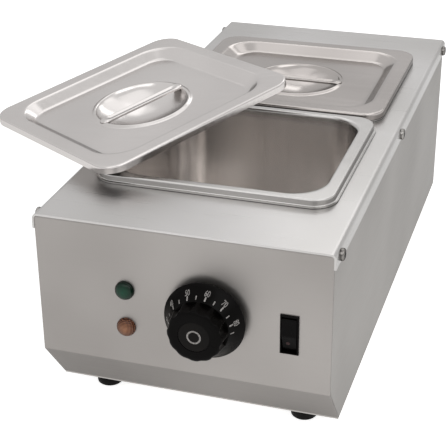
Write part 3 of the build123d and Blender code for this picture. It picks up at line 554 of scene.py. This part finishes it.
print("Lid stations:", len(cup) + len(field))

# %% [markdown]
# The bar is a stamped strip with two ribs along it and a rounded lobe at each end,
# where it is welded to the sunk field. Its section is half a squared ellipse,
# height = |sin|^0.45, with a groove pressed along the middle.

# %% Bar shape
BAR_HALF, TIP_AT = 39.0, 34.6  # half length, and where its ends start to round off
LOBE_AT, LOBE_WIDE, LOBE_MORE = 35.0, 3.6, 0.6  # the lobe's place, spread and extra half width
STRIP_HALF, RIB_H = 3.9, 2.4  # half width of the strip, height of its ribs
GROOVE, GROOVE_END, GROOVE_FADE = 1.3, 34.0, 4.0  # depth, end, and length of its run-out

# Equal steps drawn together towards both ends, where the outline turns fastest.
along = np.linspace(-1, 1, 61)[:, None]
bar_x = BAR_HALF * np.sign(along) * (1 - (1 - np.abs(along)) ** 1.6)
turn = np.linspace(0, 2 * math.pi, 48, endpoint=False)[None, :]
lobe = np.exp(-(((np.abs(bar_x) - LOBE_AT) / LOBE_WIDE) ** 2))
past_tip = np.clip(np.abs(bar_x) - TIP_AT, 0, None) / (BAR_HALF - TIP_AT)
tip = np.sqrt(np.clip(1 - past_tip**2, 0.0004, 1))
half = (STRIP_HALF + LOBE_MORE * lobe) * tip
across = np.sign(np.cos(turn)) * np.abs(np.cos(turn)) ** 0.6
rise = np.where(np.sin(turn) > 0, np.abs(np.sin(turn)) ** 0.45, 0.0)
run_out = np.clip((GROOVE_END - np.abs(bar_x)) / GROOVE_FADE, 0, 1)
groove = GROOVE * (1 - across**2) ** 2 * run_out
bar_z = -SUNK + (RIB_H * np.sqrt(tip) - groove) * rise
bar_grid = np.stack([np.broadcast_to(bar_x, bar_z.shape), half * across, bar_z], axis=-1)
bar_skin = skin(bar_grid, poles=(True, True))
print("Bar width, mm:", round(float(2 * half.max()), 2))

# %% [markdown]
# Both lids share these two surfaces. The rear one lies square on its pan. The loose
# one lies askew on the front pan, so its points are turned before they are moved.

# %% Both lids and bars in place
# The middle of each lid's border.
FRONT_LID_AT, REAR_LID_AT = np.array([-88.5, -59.0, 183.05]), np.array([0.0, 81.0, 164.1])


def turned_about(x, y, z):
    """Rotation matrix for turns in degrees about X, then Y, then Z."""
    a, b, c = np.radians([x, y, z])
    about_x = np.array([[1, 0, 0], [0, math.cos(a), -math.sin(a)], [0, math.sin(a), math.cos(a)]])
    about_y = np.array([[math.cos(b), 0, math.sin(b)], [0, 1, 0], [-math.sin(b), 0, math.cos(b)]])
    about_z = np.array([[math.cos(c), -math.sin(c), 0], [math.sin(c), math.cos(c), 0], [0, 0, 1]])
    return about_z @ about_y @ about_x


loose_turn = turned_about(-2.2, -9.1, 57.0)  # its two slopes, then its turn
lids = {
    # The loose front lid takes the steel with painted light.
    "front": ("painted_light_lid_steel", lambda points: points @ loose_turn.T + FRONT_LID_AT),
    "rear": ("lid_steel", lambda points: points + REAR_LID_AT),
}
lid_pieces = (("_lid_pressing", lid_skin, "_lid"), ("_lid_bar", bar_skin, "_lid_handle"))
for end, (steel, put_lid) in lids.items():
    for piece, surface, node in lid_pieces:
        make_piece(
            end + piece, [surface], end + "_lid", "lid_steel", [end + node],
            place=put_lid, material=finish[steel],
        )

# %% [markdown]
# ## The pans
# Each pan is deep-drawn: a flat floor, a wide fillet, walls that open 3 degrees
# towards the top, a rolled flat ring and a small hem that sits on the cover.

# %% Pan profile
DEEP = 100.0
MOUTH_W, MOUTH_D, MOUTH_R = 154.0, 145.0, 28.0  # opening and its corner radius
HEM = 4.9  # drop from the ring to the hem
narrow = 2 * DEEP * math.tan(math.radians(3.0))
floor_w, floor_d, floor_r = MOUTH_W - narrow, MOUTH_D - narrow, MOUTH_R - narrow / 2
pan = soften(
    [
        (2.0, 2.0, 1.0, -DEEP),
        (floor_w - 60, floor_d - 60, 6.0, -DEEP),
        (floor_w - 26, floor_d - 26, floor_r - 13, -DEEP),
        (floor_w, floor_d, floor_r, -DEEP),
        (floor_w + 2.0, floor_d + 2.0, floor_r + 1.0, -DEEP + 2.0 / narrow * DEEP),
        (151.5, 142.5, 26.8, -24.0),
        (MOUTH_W, MOUTH_D, MOUTH_R, 0.0),
        (160.0, 149.5, 24.0, 0.0),
        (169.0, 154.6, 14.1, 0.0),
        (172.8, 158.4, 16.0, 0.0),
        (172.8, 158.4, 16.0, -HEM),
        (176.4, 162.0, 17.8, -HEM),
    ],
    [0.5, 0.5, 12.0, 0.5, 0.5, 2.7, 0.5, 0.5, 1.8, 0.9],
    steps=8,
)
pan_skin = skin(rings(sheet_wall(pan, SHEET)), poles=(True, True))
print("Pan floor, mm:", round(floor_w, 1), "by", round(floor_d, 1))

# %% [markdown]
# The outside of a pan and its rim are one steel. The inside takes a second one with
# painted light, and a face counts as inside where it looks at the pan's axis, or up from its floor.

# %% Both pans in place
PAN_TOP = 163.0  # height of their rings
PAN_Y = {"front": -82.0, "rear": 81.0}  # middles, fore and aft
FLOOR_UNDER = 100.0  # a face that looks up below this height is the floor


def finish_inside(piece, axis_y, steel):
    """Gives the steel with painted light to the inside faces below the height where that light
    starts, and counts them. A face looks at the axis where its middle, seen from there, and its
    normal point opposite ways: their product is below zero."""
    faces = piece.data.polygons
    centre, normal = np.empty((2, len(faces) * 3))
    faces.foreach_get("center", centre)
    faces.foreach_get("normal", normal)
    centre, normal = centre.reshape(-1, 3) - (0, axis_y, 0), normal.reshape(-1, 3)
    to_axis = (centre[:, :2] * normal[:, :2]).sum(axis=1) < 0
    floor_up = (normal[:, 2] > 0.5) & (centre[:, 2] < FLOOR_UNDER * MM)
    inside = (to_axis | floor_up) & (centre[:, 2] < PAINTED_LIGHT_TOP * MM)
    piece.data.materials.append(steel)
    faces.foreach_set("material_index", inside.astype(np.int32))
    return int(inside.sum())


for end, y in PAN_Y.items():
    pan_piece = make_piece(
        end + "_pan_drawing", [pan_skin], end + "_pan", "pan_steel", [end + "_pan"],
        place=lambda points, y=y: points + np.array([0.0, y, PAN_TOP]),
    )
    print("Faces inside:", finish_inside(pan_piece, y * MM, finish["pan_inside_painted_light_steel"]))

# %% [markdown]
# ## The dial
# The knob is one moulding: a fluted grip in the middle of a bell-shaped skirt that
# carries the temperature scale. It is a profile of (radius, distance off the panel)
# pairs, turned about the spindle's axis. The bell's line is a cubic fitted to five
# measured points.

# %% Knob profile
bell = np.array([(20.6, 16.5), (21.6, 15.2), (23.2, 12.6), (25.6, 9.2), (28.3, 6.0)])
bell_line = np.polyfit(bell[:, 0], bell[:, 1], 3)
bell_r = np.linspace(bell[0, 0], bell[-1, 0], 26)
bell_face = np.column_stack([bell_r, np.polyval(bell_line, bell_r)])
BELL_WALL = [1.8, 0.9]  # its wall, as a step inwards and a step back

head = soften(
    [(0.6, 27.2), (11.0, 27.2), (11.0, 28.0), (18.9, 28.0), (20.3, 17.0), bell_face[0]],
    [0.02, 0.02, 2.2, 0.4],
    steps=8,
)
# Round the foot of the bell, back up its inside, and round the boss that the spindle enters.
edge = [(28.15, 5.4), (25.4, 1.0), (23.6, 1.0), (26.3, 5.2)]
bell_back = (bell_face - BELL_WALL)[::-1][2:]
hollow = [
    (19.2, 15.4), (17.1, 16.4), (17.1, 25.0), (8.0, 25.0),
    (8.0, 4.0), (5.0, 4.0), (5.0, 22.0), (0.6, 22.0),
]
knob = np.vstack([head, bell_face[1:], edge, bell_back, hollow])
print("Knob stations:", len(knob))

# %% [markdown]
# The grip has 12 flutes, round scoops of 6 mm radius. A ray at an angle a from a
# scoop's middle meets it at 24 cos a - sqrt(36 - (24 sin a)^2), and the grip's radius
# is held below that. A soft minimum, -s log(e^(-r/s) + e^(-scoop/s)), keeps the
# lands between the flutes rounded.

# %% Knob
DIAL_X, DIAL_Z = 18.5, 97.6  # the spindle's axis
FLUTES, SCOOP_R, SCOOP_AWAY = 12, 6.0, 24.0  # their number, radius and distance out
FIRST_FLUTE = math.radians(15.0)  # where the first one sits, from the right
SOFT = 0.25  # mm over which a land rounds into a flute
CAP_R = 14.0  # the flutes start outside this radius
FOOT_ROWS = 6  # rows at the foot of the grip that stay round, to meet the bell

theta = np.linspace(0, 2 * math.pi, 360, endpoint=False)[None, :]
pitch = 2 * math.pi / FLUTES
from_scoop = (theta - FIRST_FLUTE + pitch / 2) % pitch - pitch / 2
inside = np.clip(SCOOP_R**2 - (SCOOP_AWAY * np.sin(from_scoop)) ** 2, 0, None)
scoop = SCOOP_AWAY * np.cos(from_scoop) - np.sqrt(inside)
radius, proud = knob[:, :1], knob[:, 1:]
on_grip = (np.arange(len(knob))[:, None] < len(head) - FOOT_ROWS) & (radius > CAP_R)
held = -SOFT * np.log(np.exp(-radius / SOFT) + np.exp(-scoop / SOFT))
radius = np.where(on_grip, held, np.broadcast_to(radius, held.shape))


def on_dial(radius, angle, proud):
    """Points round the spindle: right by r cos, up by r sin, and off the panel by the proud
    distance."""
    x, y, z = DIAL_X + radius * np.cos(angle), PANEL_Y - proud, DIAL_Z + radius * np.sin(angle)
    return np.stack(np.broadcast_arrays(x, y, z), axis=-1)


knob_skin = skin(on_dial(radius, theta, proud), poles=(True, True))
make_piece("dial_knob_moulding", [knob_skin], "dial", "black_plastic", ["dial_knob"])

# %% [markdown]
# The disc closes the end of the grip. It has a turned edge and is very slightly
# domed, which gives it a soft highlight of its own.

# %% Disc
disc_r = np.array([0.4, 3, 6, 8.5, 9.6, 10.3, 10.75, 10.9, 10.9])[:, None]
disc_h = np.array([28.0, 27.98, 27.93, 27.87, 27.84, 27.8, 27.7, 27.5, 27.22])[:, None]
disc_turn = np.linspace(0, 2 * math.pi, 96, endpoint=False)[None, :]
disc_skin = skin(on_dial(disc_r, disc_turn, disc_h), poles=(True, True))
make_piece("dial_disc_face", [disc_skin], "dial", "disc_plastic", ["dial_disc"])

# %% [markdown]
# A plain printed ring marks the middle of the disc. It is a band 0.06 mm thick, so
# it needs no texture and keeps a crisp edge.

# %% Ring on the disc
INK, BURIED = 0.06, -0.05  # the ring's face above the disc, and its back just inside it


def print_ink(name, shade, worn):
    """Pad-printed ink: matt, with thin patches about a millimetre across."""
    material, tree, place = new_material(name)
    thin = put(tree, "ShaderNodeTexNoise", Vector=place, Scale=900.0, Detail=2.0)
    tint = put(tree, "ShaderNodeValToRGB", stops=[(0.38, worn), (0.6, shade)], Fac=thin)
    gloss = put(
        tree, "ShaderNodeMapRange", Value=thin, From_Min=0.3, From_Max=0.7, To_Min=0.5, To_Max=0.65
    )
    ink = put(tree, "ShaderNodeBsdfPrincipled", Base_Color=tint, Roughness=gloss)
    put(tree, "ShaderNodeOutputMaterial", Surface=ink)
    return material


# One coat over black plastic: a warm grey-white that never quite covers.
white_ink = print_ink("White pad print", "#BDB9B6", "#86827F")
band_r = np.array([3.8, 4.9, 4.9, 3.8, 3.8])[:, None]
band_off = np.array([INK, INK, BURIED, BURIED, INK])[:, None]
band_h = np.interp(band_r, disc_r[:, 0], disc_h[:, 0]) + band_off
make_piece(
    "dial_disc_ring", [skin(on_dial(band_r, disc_turn, band_h))], "dial", "white_plastic",
    material=white_ink, sharp=30,
)

# %% [markdown]
# ## The scale
# Numbers from 30 to 80 and a mark every five degrees are printed on the bell. The
# bell is curved both ways, so the print is bent onto it: across the figure becomes
# angle, and up the figure becomes distance along the bell's own line.

# %% The bell's line
SCALE_C = [30, 40, 50, 60, 70, 80, 85]
SCALE_ANGLE = [182, 147.5, 113, 80, 47, 13.6, -1.7]
LEAN = 0.7  # the bell leans by about 45 degrees, so a step off it is 0.7 out and 0.7 forward
bell_run = np.concatenate([[0], np.cumsum(np.hypot(*np.diff(bell_face, axis=0).T))])


def bend_on_bell(flat, middle):
    """Flat points (across, up, off), in mm, onto the bell: up runs along its line from the
    neck, across turns about the spindle, and off stands out from its face."""
    r = np.interp(flat[:, 1], bell_run, bell_face[:, 0])
    h = np.interp(flat[:, 1], bell_run, bell_face[:, 1])
    return on_dial(r + flat[:, 2] * LEAN, middle - flat[:, 0] / r, h + flat[:, 2] * LEAN)


def scale_angle(degrees_c):
    """The angle of a temperature on the dial, anticlockwise from the right, at rest."""
    return np.radians(np.interp(degrees_c, SCALE_C, SCALE_ANGLE))


print("Length of the bell's line, mm:", round(float(bell_run[-1]), 2))

# %% [markdown]
# A mark is a thin bar with 8 rows of points, enough to follow the bell. The tens
# have longer and wider marks than the fives between them.

# %% Marks
TENS, FIVES = (0.8, 4.2, 0.95), (1.0, 4.0, 0.7)  # start and end on the bell's line, and width
STEPS, MARK_THICK = 8, 0.1  # rows of points along a mark, and its thickness
mark_skins = []
for degrees_c in range(30, 90, 5):
    start, stop, wide = TENS if degrees_c % 10 == 0 else FIVES
    across, up = np.meshgrid([-wide / 2, wide / 2], np.linspace(start, stop, STEPS))
    across, up = across.ravel(), up.ravel()
    sides = [np.column_stack([across, up, np.full(2 * STEPS, off)]) for off in (MARK_THICK, 0.0)]
    middle = scale_angle(degrees_c)
    top, under = (bend_on_bell(flat, middle).reshape(STEPS, 2, 3) for flat in sides)
    loop = np.stack([top[:, 0], top[:, 1], under[:, 1], under[:, 0]], axis=1)
    mark_skins.append(skin(loop, poles=(True, True)))
make_piece("dial_marks", mark_skins, "dial", "white_plastic", material=white_ink, sharp=30)

# %% [markdown]
# A figure is typed flat, turned into a thin mesh of triangles, and then bent like
# the marks. The scale's figures are narrow, so each is squeezed across.

# %% Numbers
FIGURE_NARROW = 0.6  # share of its typed width
FIGURE_FOOT, FIGURE_OFF = 4.6, 0.07  # where it stands on the bell's line, and how far off it


def flat_figure(text):
    """Points and triangles of a typed figure, 0.1 mm thick, with its foot at 0."""
    words = bpy.data.curves.new("number", "FONT")
    words.body = text
    words.align_x = "CENTER"
    words.size = 6.3
    words.extrude = 0.05
    words.offset = 0.03
    typed = bpy.data.objects.new("number", words)
    mesh = bpy.data.meshes.new_from_object(typed)
    cut = bmesh.new()
    cut.from_mesh(mesh)
    bmesh.ops.remove_doubles(cut, verts=cut.verts, dist=1e-5)
    bmesh.ops.triangulate(cut, faces=cut.faces)
    cut.to_mesh(mesh)
    cut.free()
    points = np.empty(len(mesh.vertices) * 3)
    mesh.vertices.foreach_get("co", points)
    corners = np.empty(len(mesh.polygons) * 3, int)
    mesh.polygons.foreach_get("vertices", corners)
    bpy.data.objects.remove(typed)
    return points.reshape(-1, 3), corners.reshape(-1, 3)


figure_skins = []
for degrees_c in range(30, 90, 10):
    flat, corners = flat_figure(str(degrees_c))
    flat[:, 0] = (flat[:, 0] - flat[:, 0].mean()) * FIGURE_NARROW
    flat[:, 1] = flat[:, 1] + FIGURE_FOOT
    flat[:, 2] = flat[:, 2] + FIGURE_OFF
    figure_skins.append((bend_on_bell(flat, scale_angle(degrees_c)), [corners]))
make_piece(
    "dial_numbers", figure_skins, "dial", "white_plastic", material=white_ink, sharp=20
)

# %% [markdown]
# ## The pilot lamps
# Each lens is a turned shape: a low collar on the panel, then a dome whose height
# falls off as an ellipse, h = 2.0 + 2.8 sqrt(1 - (r / 6.4)^2).

# %% Lenses
DOME_R, DOME_FOOT, DOME_H = 6.4, 2.0, 2.8  # radius, height of the collar, rise of the dome
dome_r = DOME_R * np.sin(np.linspace(0.03, math.pi / 2, 18))
dome_h = DOME_FOOT + DOME_H * np.sqrt(np.clip(1 - (dome_r / DOME_R) ** 2, 0, 1))
collar = [
    (6.45, 1.9), (6.7, 1.6), (LAMP_R, 1.2), (LAMP_R, 0.0), (4.1, 0.0), (4.1, -2.0), (0.3, -2.0)
]
lens_line = np.vstack([np.column_stack([dome_r, dome_h]), collar])
lens_turn = np.linspace(0, 2 * math.pi, 64, endpoint=False)[None, :]
for colour, z in LAMP_Z.items():
    x = LAMP_X + lens_line[:, :1] * np.cos(lens_turn)
    y = np.broadcast_to(PANEL_Y - lens_line[:, 1:], x.shape)
    grid = np.stack([x, y, z + lens_line[:, :1] * np.sin(lens_turn)], axis=-1)
    make_piece(
        "lamp_" + colour + "_dome", [skin(grid, poles=(True, True))], "housing", "lens_" + colour,
        ["lamp_lens_" + colour],
    )

# %% [markdown]
# ## The rocker switch
# The rocker has two slightly hollow halves that meet in a ridge, at 7 degrees each
# side. Its face is a height field: the ridge's height less a slope, less a small
# scoop, and less a quarter-round where it comes near an edge. The two outer rows of
# the field drop down as its sides.

# %% Rocker
SWITCH_X, SWITCH_Z, PIVOT_Y = 75.3, 93.5, -219.0
HALF_W, HALF_H = 5.2, 12.9  # half the rocker's width and height
TILT = math.radians(7.0)
RIDGE_H, RIDGE_ROUND = 5.35, 0.35  # the ridge's height, and what rounds it, in square mm
SCOOPED, EDGE_R = 0.35, 0.7  # depth of each half's hollow, radius of the face's edge
SIDE_TOP, SIDE_FOOT = 1.6, 0.6  # heights of the two outer rows, straight down the sides


def on_rocker(side, tall, back):
    """Points of the rocker, turned by its tilt about the pivot, where back is the distance
    behind the pivot: y = back cos - tall sin, and z = back sin + tall cos."""
    y = PIVOT_Y + back * math.cos(TILT) - tall * math.sin(TILT)
    z = SWITCH_Z + back * math.sin(TILT) + tall * math.cos(TILT)
    return np.stack([SWITCH_X + side, y, z], axis=-1)


u = np.concatenate([[-HALF_W] * 2, np.linspace(-HALF_W, HALF_W, 33), [HALF_W] * 2])
v = np.concatenate([[-HALF_H] * 2, np.linspace(-HALF_H, HALF_H, 71), [HALF_H] * 2])
side, tall = np.meshgrid(u, v)
to_edge = np.clip(np.minimum(HALF_W - np.abs(side), HALF_H - np.abs(tall)), 0, EDGE_R)
quarter = EDGE_R - np.sqrt(np.clip(EDGE_R**2 - (EDGE_R - to_edge) ** 2, 0, None))
half_way = np.clip(np.abs(tall) / HALF_H, 0, 1)
hollow_half = SCOOPED * np.sin(math.pi * half_way) * (1 - (side / HALF_W) ** 2)
ridge = np.sqrt(tall**2 + RIDGE_ROUND)
height = RIDGE_H - math.tan(TILT) * ridge - hollow_half - quarter
row, column = (np.minimum(np.arange(n), np.arange(n)[::-1]) for n in height.shape)
from_rim = np.minimum(row[:, None], column[None, :])
height = np.where(from_rim < 2, np.where(from_rim < 1, SIDE_FOOT, SIDE_TOP), height)
rocker_skin = skin(on_rocker(side, tall, -height), around=False)
make_piece(
    "switch_rocker_moulding", [rocker_skin], "rocker", "rocker_plastic", ["switch_rocker"],
    sharp=50,
)

# %% [markdown]
# A small dark red window sits in the lower half of the rocker: a low dome,
# h = 0.35 sqrt(1 - (r / 1.7)^2), turned about its own axis and tilted with the face.

# %% Rocker window
WINDOW_R, WINDOW_H = 1.7, 0.35  # radius and rise of the dome
WINDOW_X, WINDOW_DOWN, WINDOW_OUT = -1.0, 6.3, 4.05  # from the rocker's middle and its pivot
glass_r = WINDOW_R * np.sin(np.linspace(0.05, math.pi / 2, 10))[:, None]
glass_h = WINDOW_H * np.sqrt(np.clip(1 - (glass_r / WINDOW_R) ** 2, 0, 1))
window_r = np.vstack([glass_r, [[WINDOW_R], [0.1]]])
window_h = np.vstack([glass_h, [[-0.6], [-0.6]]])
window_turn = np.linspace(0, 2 * math.pi, 40, endpoint=False)[None, :]
side = WINDOW_X + window_r * np.cos(window_turn)
tall = -WINDOW_DOWN + window_r * np.sin(window_turn)
back = -(WINDOW_OUT + np.broadcast_to(window_h, side.shape)) - math.tan(TILT) * (tall + WINDOW_DOWN)
# Moulded clear red over a dark chamber: nearly black until the lamp is lit.
red_window = moulded("Dark red polycarbonate window", "#3A1416", "#2A0D0F", 0.25, bump=0.0, ior=1.3)
window_skin = skin(on_rocker(side, tall, back), poles=(True, True))
make_piece("rocker_window", [window_skin], "rocker", "rocker_plastic", material=red_window)

# %% [markdown]
# ## Smoother copies of the CAD pieces
# A CAD mesh comes as loose flat triangles. Where a round or bent piece shows, a
# copy of it is merged and shaded smooth, with an edge wherever the faces turn more
# than 35 degrees. Weighted normals keep its flat faces flat beside a bend.

# %% Merged copies
FLAT, SHARP = math.radians(0.5), math.radians(35)


def merged_copy(node_name, body):
    """The CAD node's own shape with its triangles joined, flat areas made one face, and
    smooth bends."""
    mesh = nodes[node_name].data.copy()
    work = bmesh.new()
    work.from_mesh(mesh)
    bmesh.ops.remove_doubles(work, verts=work.verts, dist=MERGED)
    bmesh.ops.dissolve_limit(work, angle_limit=FLAT, verts=work.verts, edges=work.edges)
    work.to_mesh(mesh)
    work.free()
    mesh.shade_smooth()
    mesh.set_sharp_from_angle(angle=SHARP)
    made = bpy.data.objects.new(node_name + "_smooth", mesh)
    bpy.context.scene.collection.objects.link(made)
    even = made.modifiers.new("even shading", "WEIGHTED_NORMAL")
    even.keep_sharp = True
    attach(made, body)
    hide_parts(node_name)
    return made


smooth_nodes = [
    "top_cover", "front_panel", "side_panel_left", "side_panel_right", "rear_panel", "cover_screws",
    "feet", "foot_screws", "foot_nuts", "mains_inlet", "inlet_pins", "inlet_screws", "switch_frame",
    "heating_tank", "cover_nuts",
]
for node_name in smooth_nodes:
    merged_copy(node_name, "housing")
print("Merged copies:", len(smooth_nodes))

# %% [markdown]
# ## Floor, world and lamps
# The object stands on a white worktop. The floor is a matt white plane that keeps
# the soft shadow, and rays from the camera, mirrors and glass see a white world.
# Only the light that reaches a matt surface is dimmed, so that colours stay true.

# %% Floor
FLOOR_LIFT = 0.8  # what the floor adds, for the camera and mirrors alone, to look white
FLOOR_HALF = 4  # half its side, in metres


def any_ray(tree, *kinds):
    """1 for a ray of any of these kinds, and 0 for the rest: the largest of Light Path's
    answers."""
    path = put(tree, "ShaderNodeLightPath")
    seen = path.outputs[kinds[0]]
    for kind in kinds[1:]:
        seen = put(
            tree, "ShaderNodeMath", {"operation": "MAXIMUM"}, i0=seen, i1=path.outputs[kind]
        )
    return seen


# Sealed matt board: plain white, with a speckle too faint to read as a pattern.
floor_material, tree, place = new_material("White worktop")
speckle = put(tree, "ShaderNodeTexNoise", Vector=place, Scale=40.0, Detail=2.0)
tint = put(tree, "ShaderNodeValToRGB", stops=[(0.3, "#F4F4F3"), (0.7, "#F6F6F5")], Fac=speckle)
surface = put(tree, "ShaderNodeBsdfPrincipled", Base_Color=tint, Roughness=0.8, IOR=1.3)
seen = any_ray(tree, "Is Camera Ray", "Is Glossy Ray")
level = put(tree, "ShaderNodeMath", {"operation": "MULTIPLY"}, i0=seen, i1=FLOOR_LIFT)
lift = put(tree, "ShaderNodeEmission", Color=(1, 1, 1, 1), Strength=level)
both = put(tree, "ShaderNodeAddShader", i0=surface, i1=lift)
put(tree, "ShaderNodeOutputMaterial", Surface=both)
corners = np.array([(-1, -1, 0), (1, -1, 0), (1, 1, 0), (-1, 1, 0)], float) * FLOOR_HALF
floor_mesh = bpy.data.meshes.new("floor")
floor_mesh.from_pydata(corners, [], [(0, 1, 2, 3)])
floor_mesh.materials.append(floor_material)
floor = bpy.data.objects.new("floor", floor_mesh)
bpy.context.scene.collection.objects.link(floor)
print("Floor, metres a side:", 2 * FLOOR_HALF)

# %% World
WORLD_FILL = 0.25  # the world's strength on matt surfaces; 1 is what the camera sees
world = bpy.data.worlds.new("studio")
bpy.context.scene.world = world
world.use_nodes = True
tree = world.node_tree
tree.nodes.clear()
seen = any_ray(tree, "Is Camera Ray", "Is Glossy Ray", "Is Transmission Ray")
level = put(tree, "ShaderNodeMapRange", Value=seen, To_Min=WORLD_FILL, To_Max=1.0)
sky = put(tree, "ShaderNodeBackground", Color=(1, 1, 1, 1), Strength=level)
put(tree, "ShaderNodeOutputWorld", Surface=sky)
print("World fill:", WORLD_FILL)

# %% [markdown]
# Polished metal has hardly a shade of its own: it shows what stands around it. So
# the lamps are large soft panels, placed where a surface mirrors them: five behind
# and above for the cover, lids and pans, and two in front for the upright sheets and
# the dial.

# %% Lamps
LAMPS_UP = 0.1  # metres from the floor to the point that the panels face


def soft_panel(name, turn, rise, away, width, tall, radiance):
    """A rectangular lamp that faces the object from a turn and a rise in degrees. Its power is
    pi times its area times its radiance, where 1 looks as white as the world."""
    turn, rise = math.radians(turn), math.radians(rise)
    lamp = bpy.data.lights.new(name, "AREA")
    lamp.shape = "RECTANGLE"
    lamp.size, lamp.size_y = width, tall
    lamp.energy = math.pi * width * tall * radiance
    held_up = bpy.data.objects.new(name, lamp)
    level_away = away * math.cos(rise)
    held_up.location = (
        level_away * math.cos(turn), level_away * math.sin(turn), away * math.sin(rise) + LAMPS_UP
    )
    held_up.rotation_euler = (math.pi / 2 - rise, 0, turn + math.pi / 2)
    bpy.context.scene.collection.objects.link(held_up)
    return held_up


# Each panel's turn, anticlockwise from the right, rise, distance, width, height and radiance.
lamps = {
    "top panel": (84, 60, 1.9, 2.0, 0.8, 0.6),
    "rear panel": (86, 37, 2.2, 1.3, 0.5, 1.8),
    "left corner panel": (126, 50, 2.0, 0.8, 0.6, 0.35),
    "right corner panel": (40, 57, 2.0, 1.0, 0.8, 0.15),
    "overhead panel": (150, 78, 1.8, 1.0, 0.8, 0.5),
    "key panel": (-35, 45, 2.0, 1.4, 1.4, 1.6),
    "front panel": (-95, 40, 2.0, 1.2, 1.2, 1.1),
}
for name, setting in lamps.items():
    soft_panel(name, *setting)
bpy.context.scene.view_settings.view_transform = "Standard"
print("Lamps:", list(lamps))
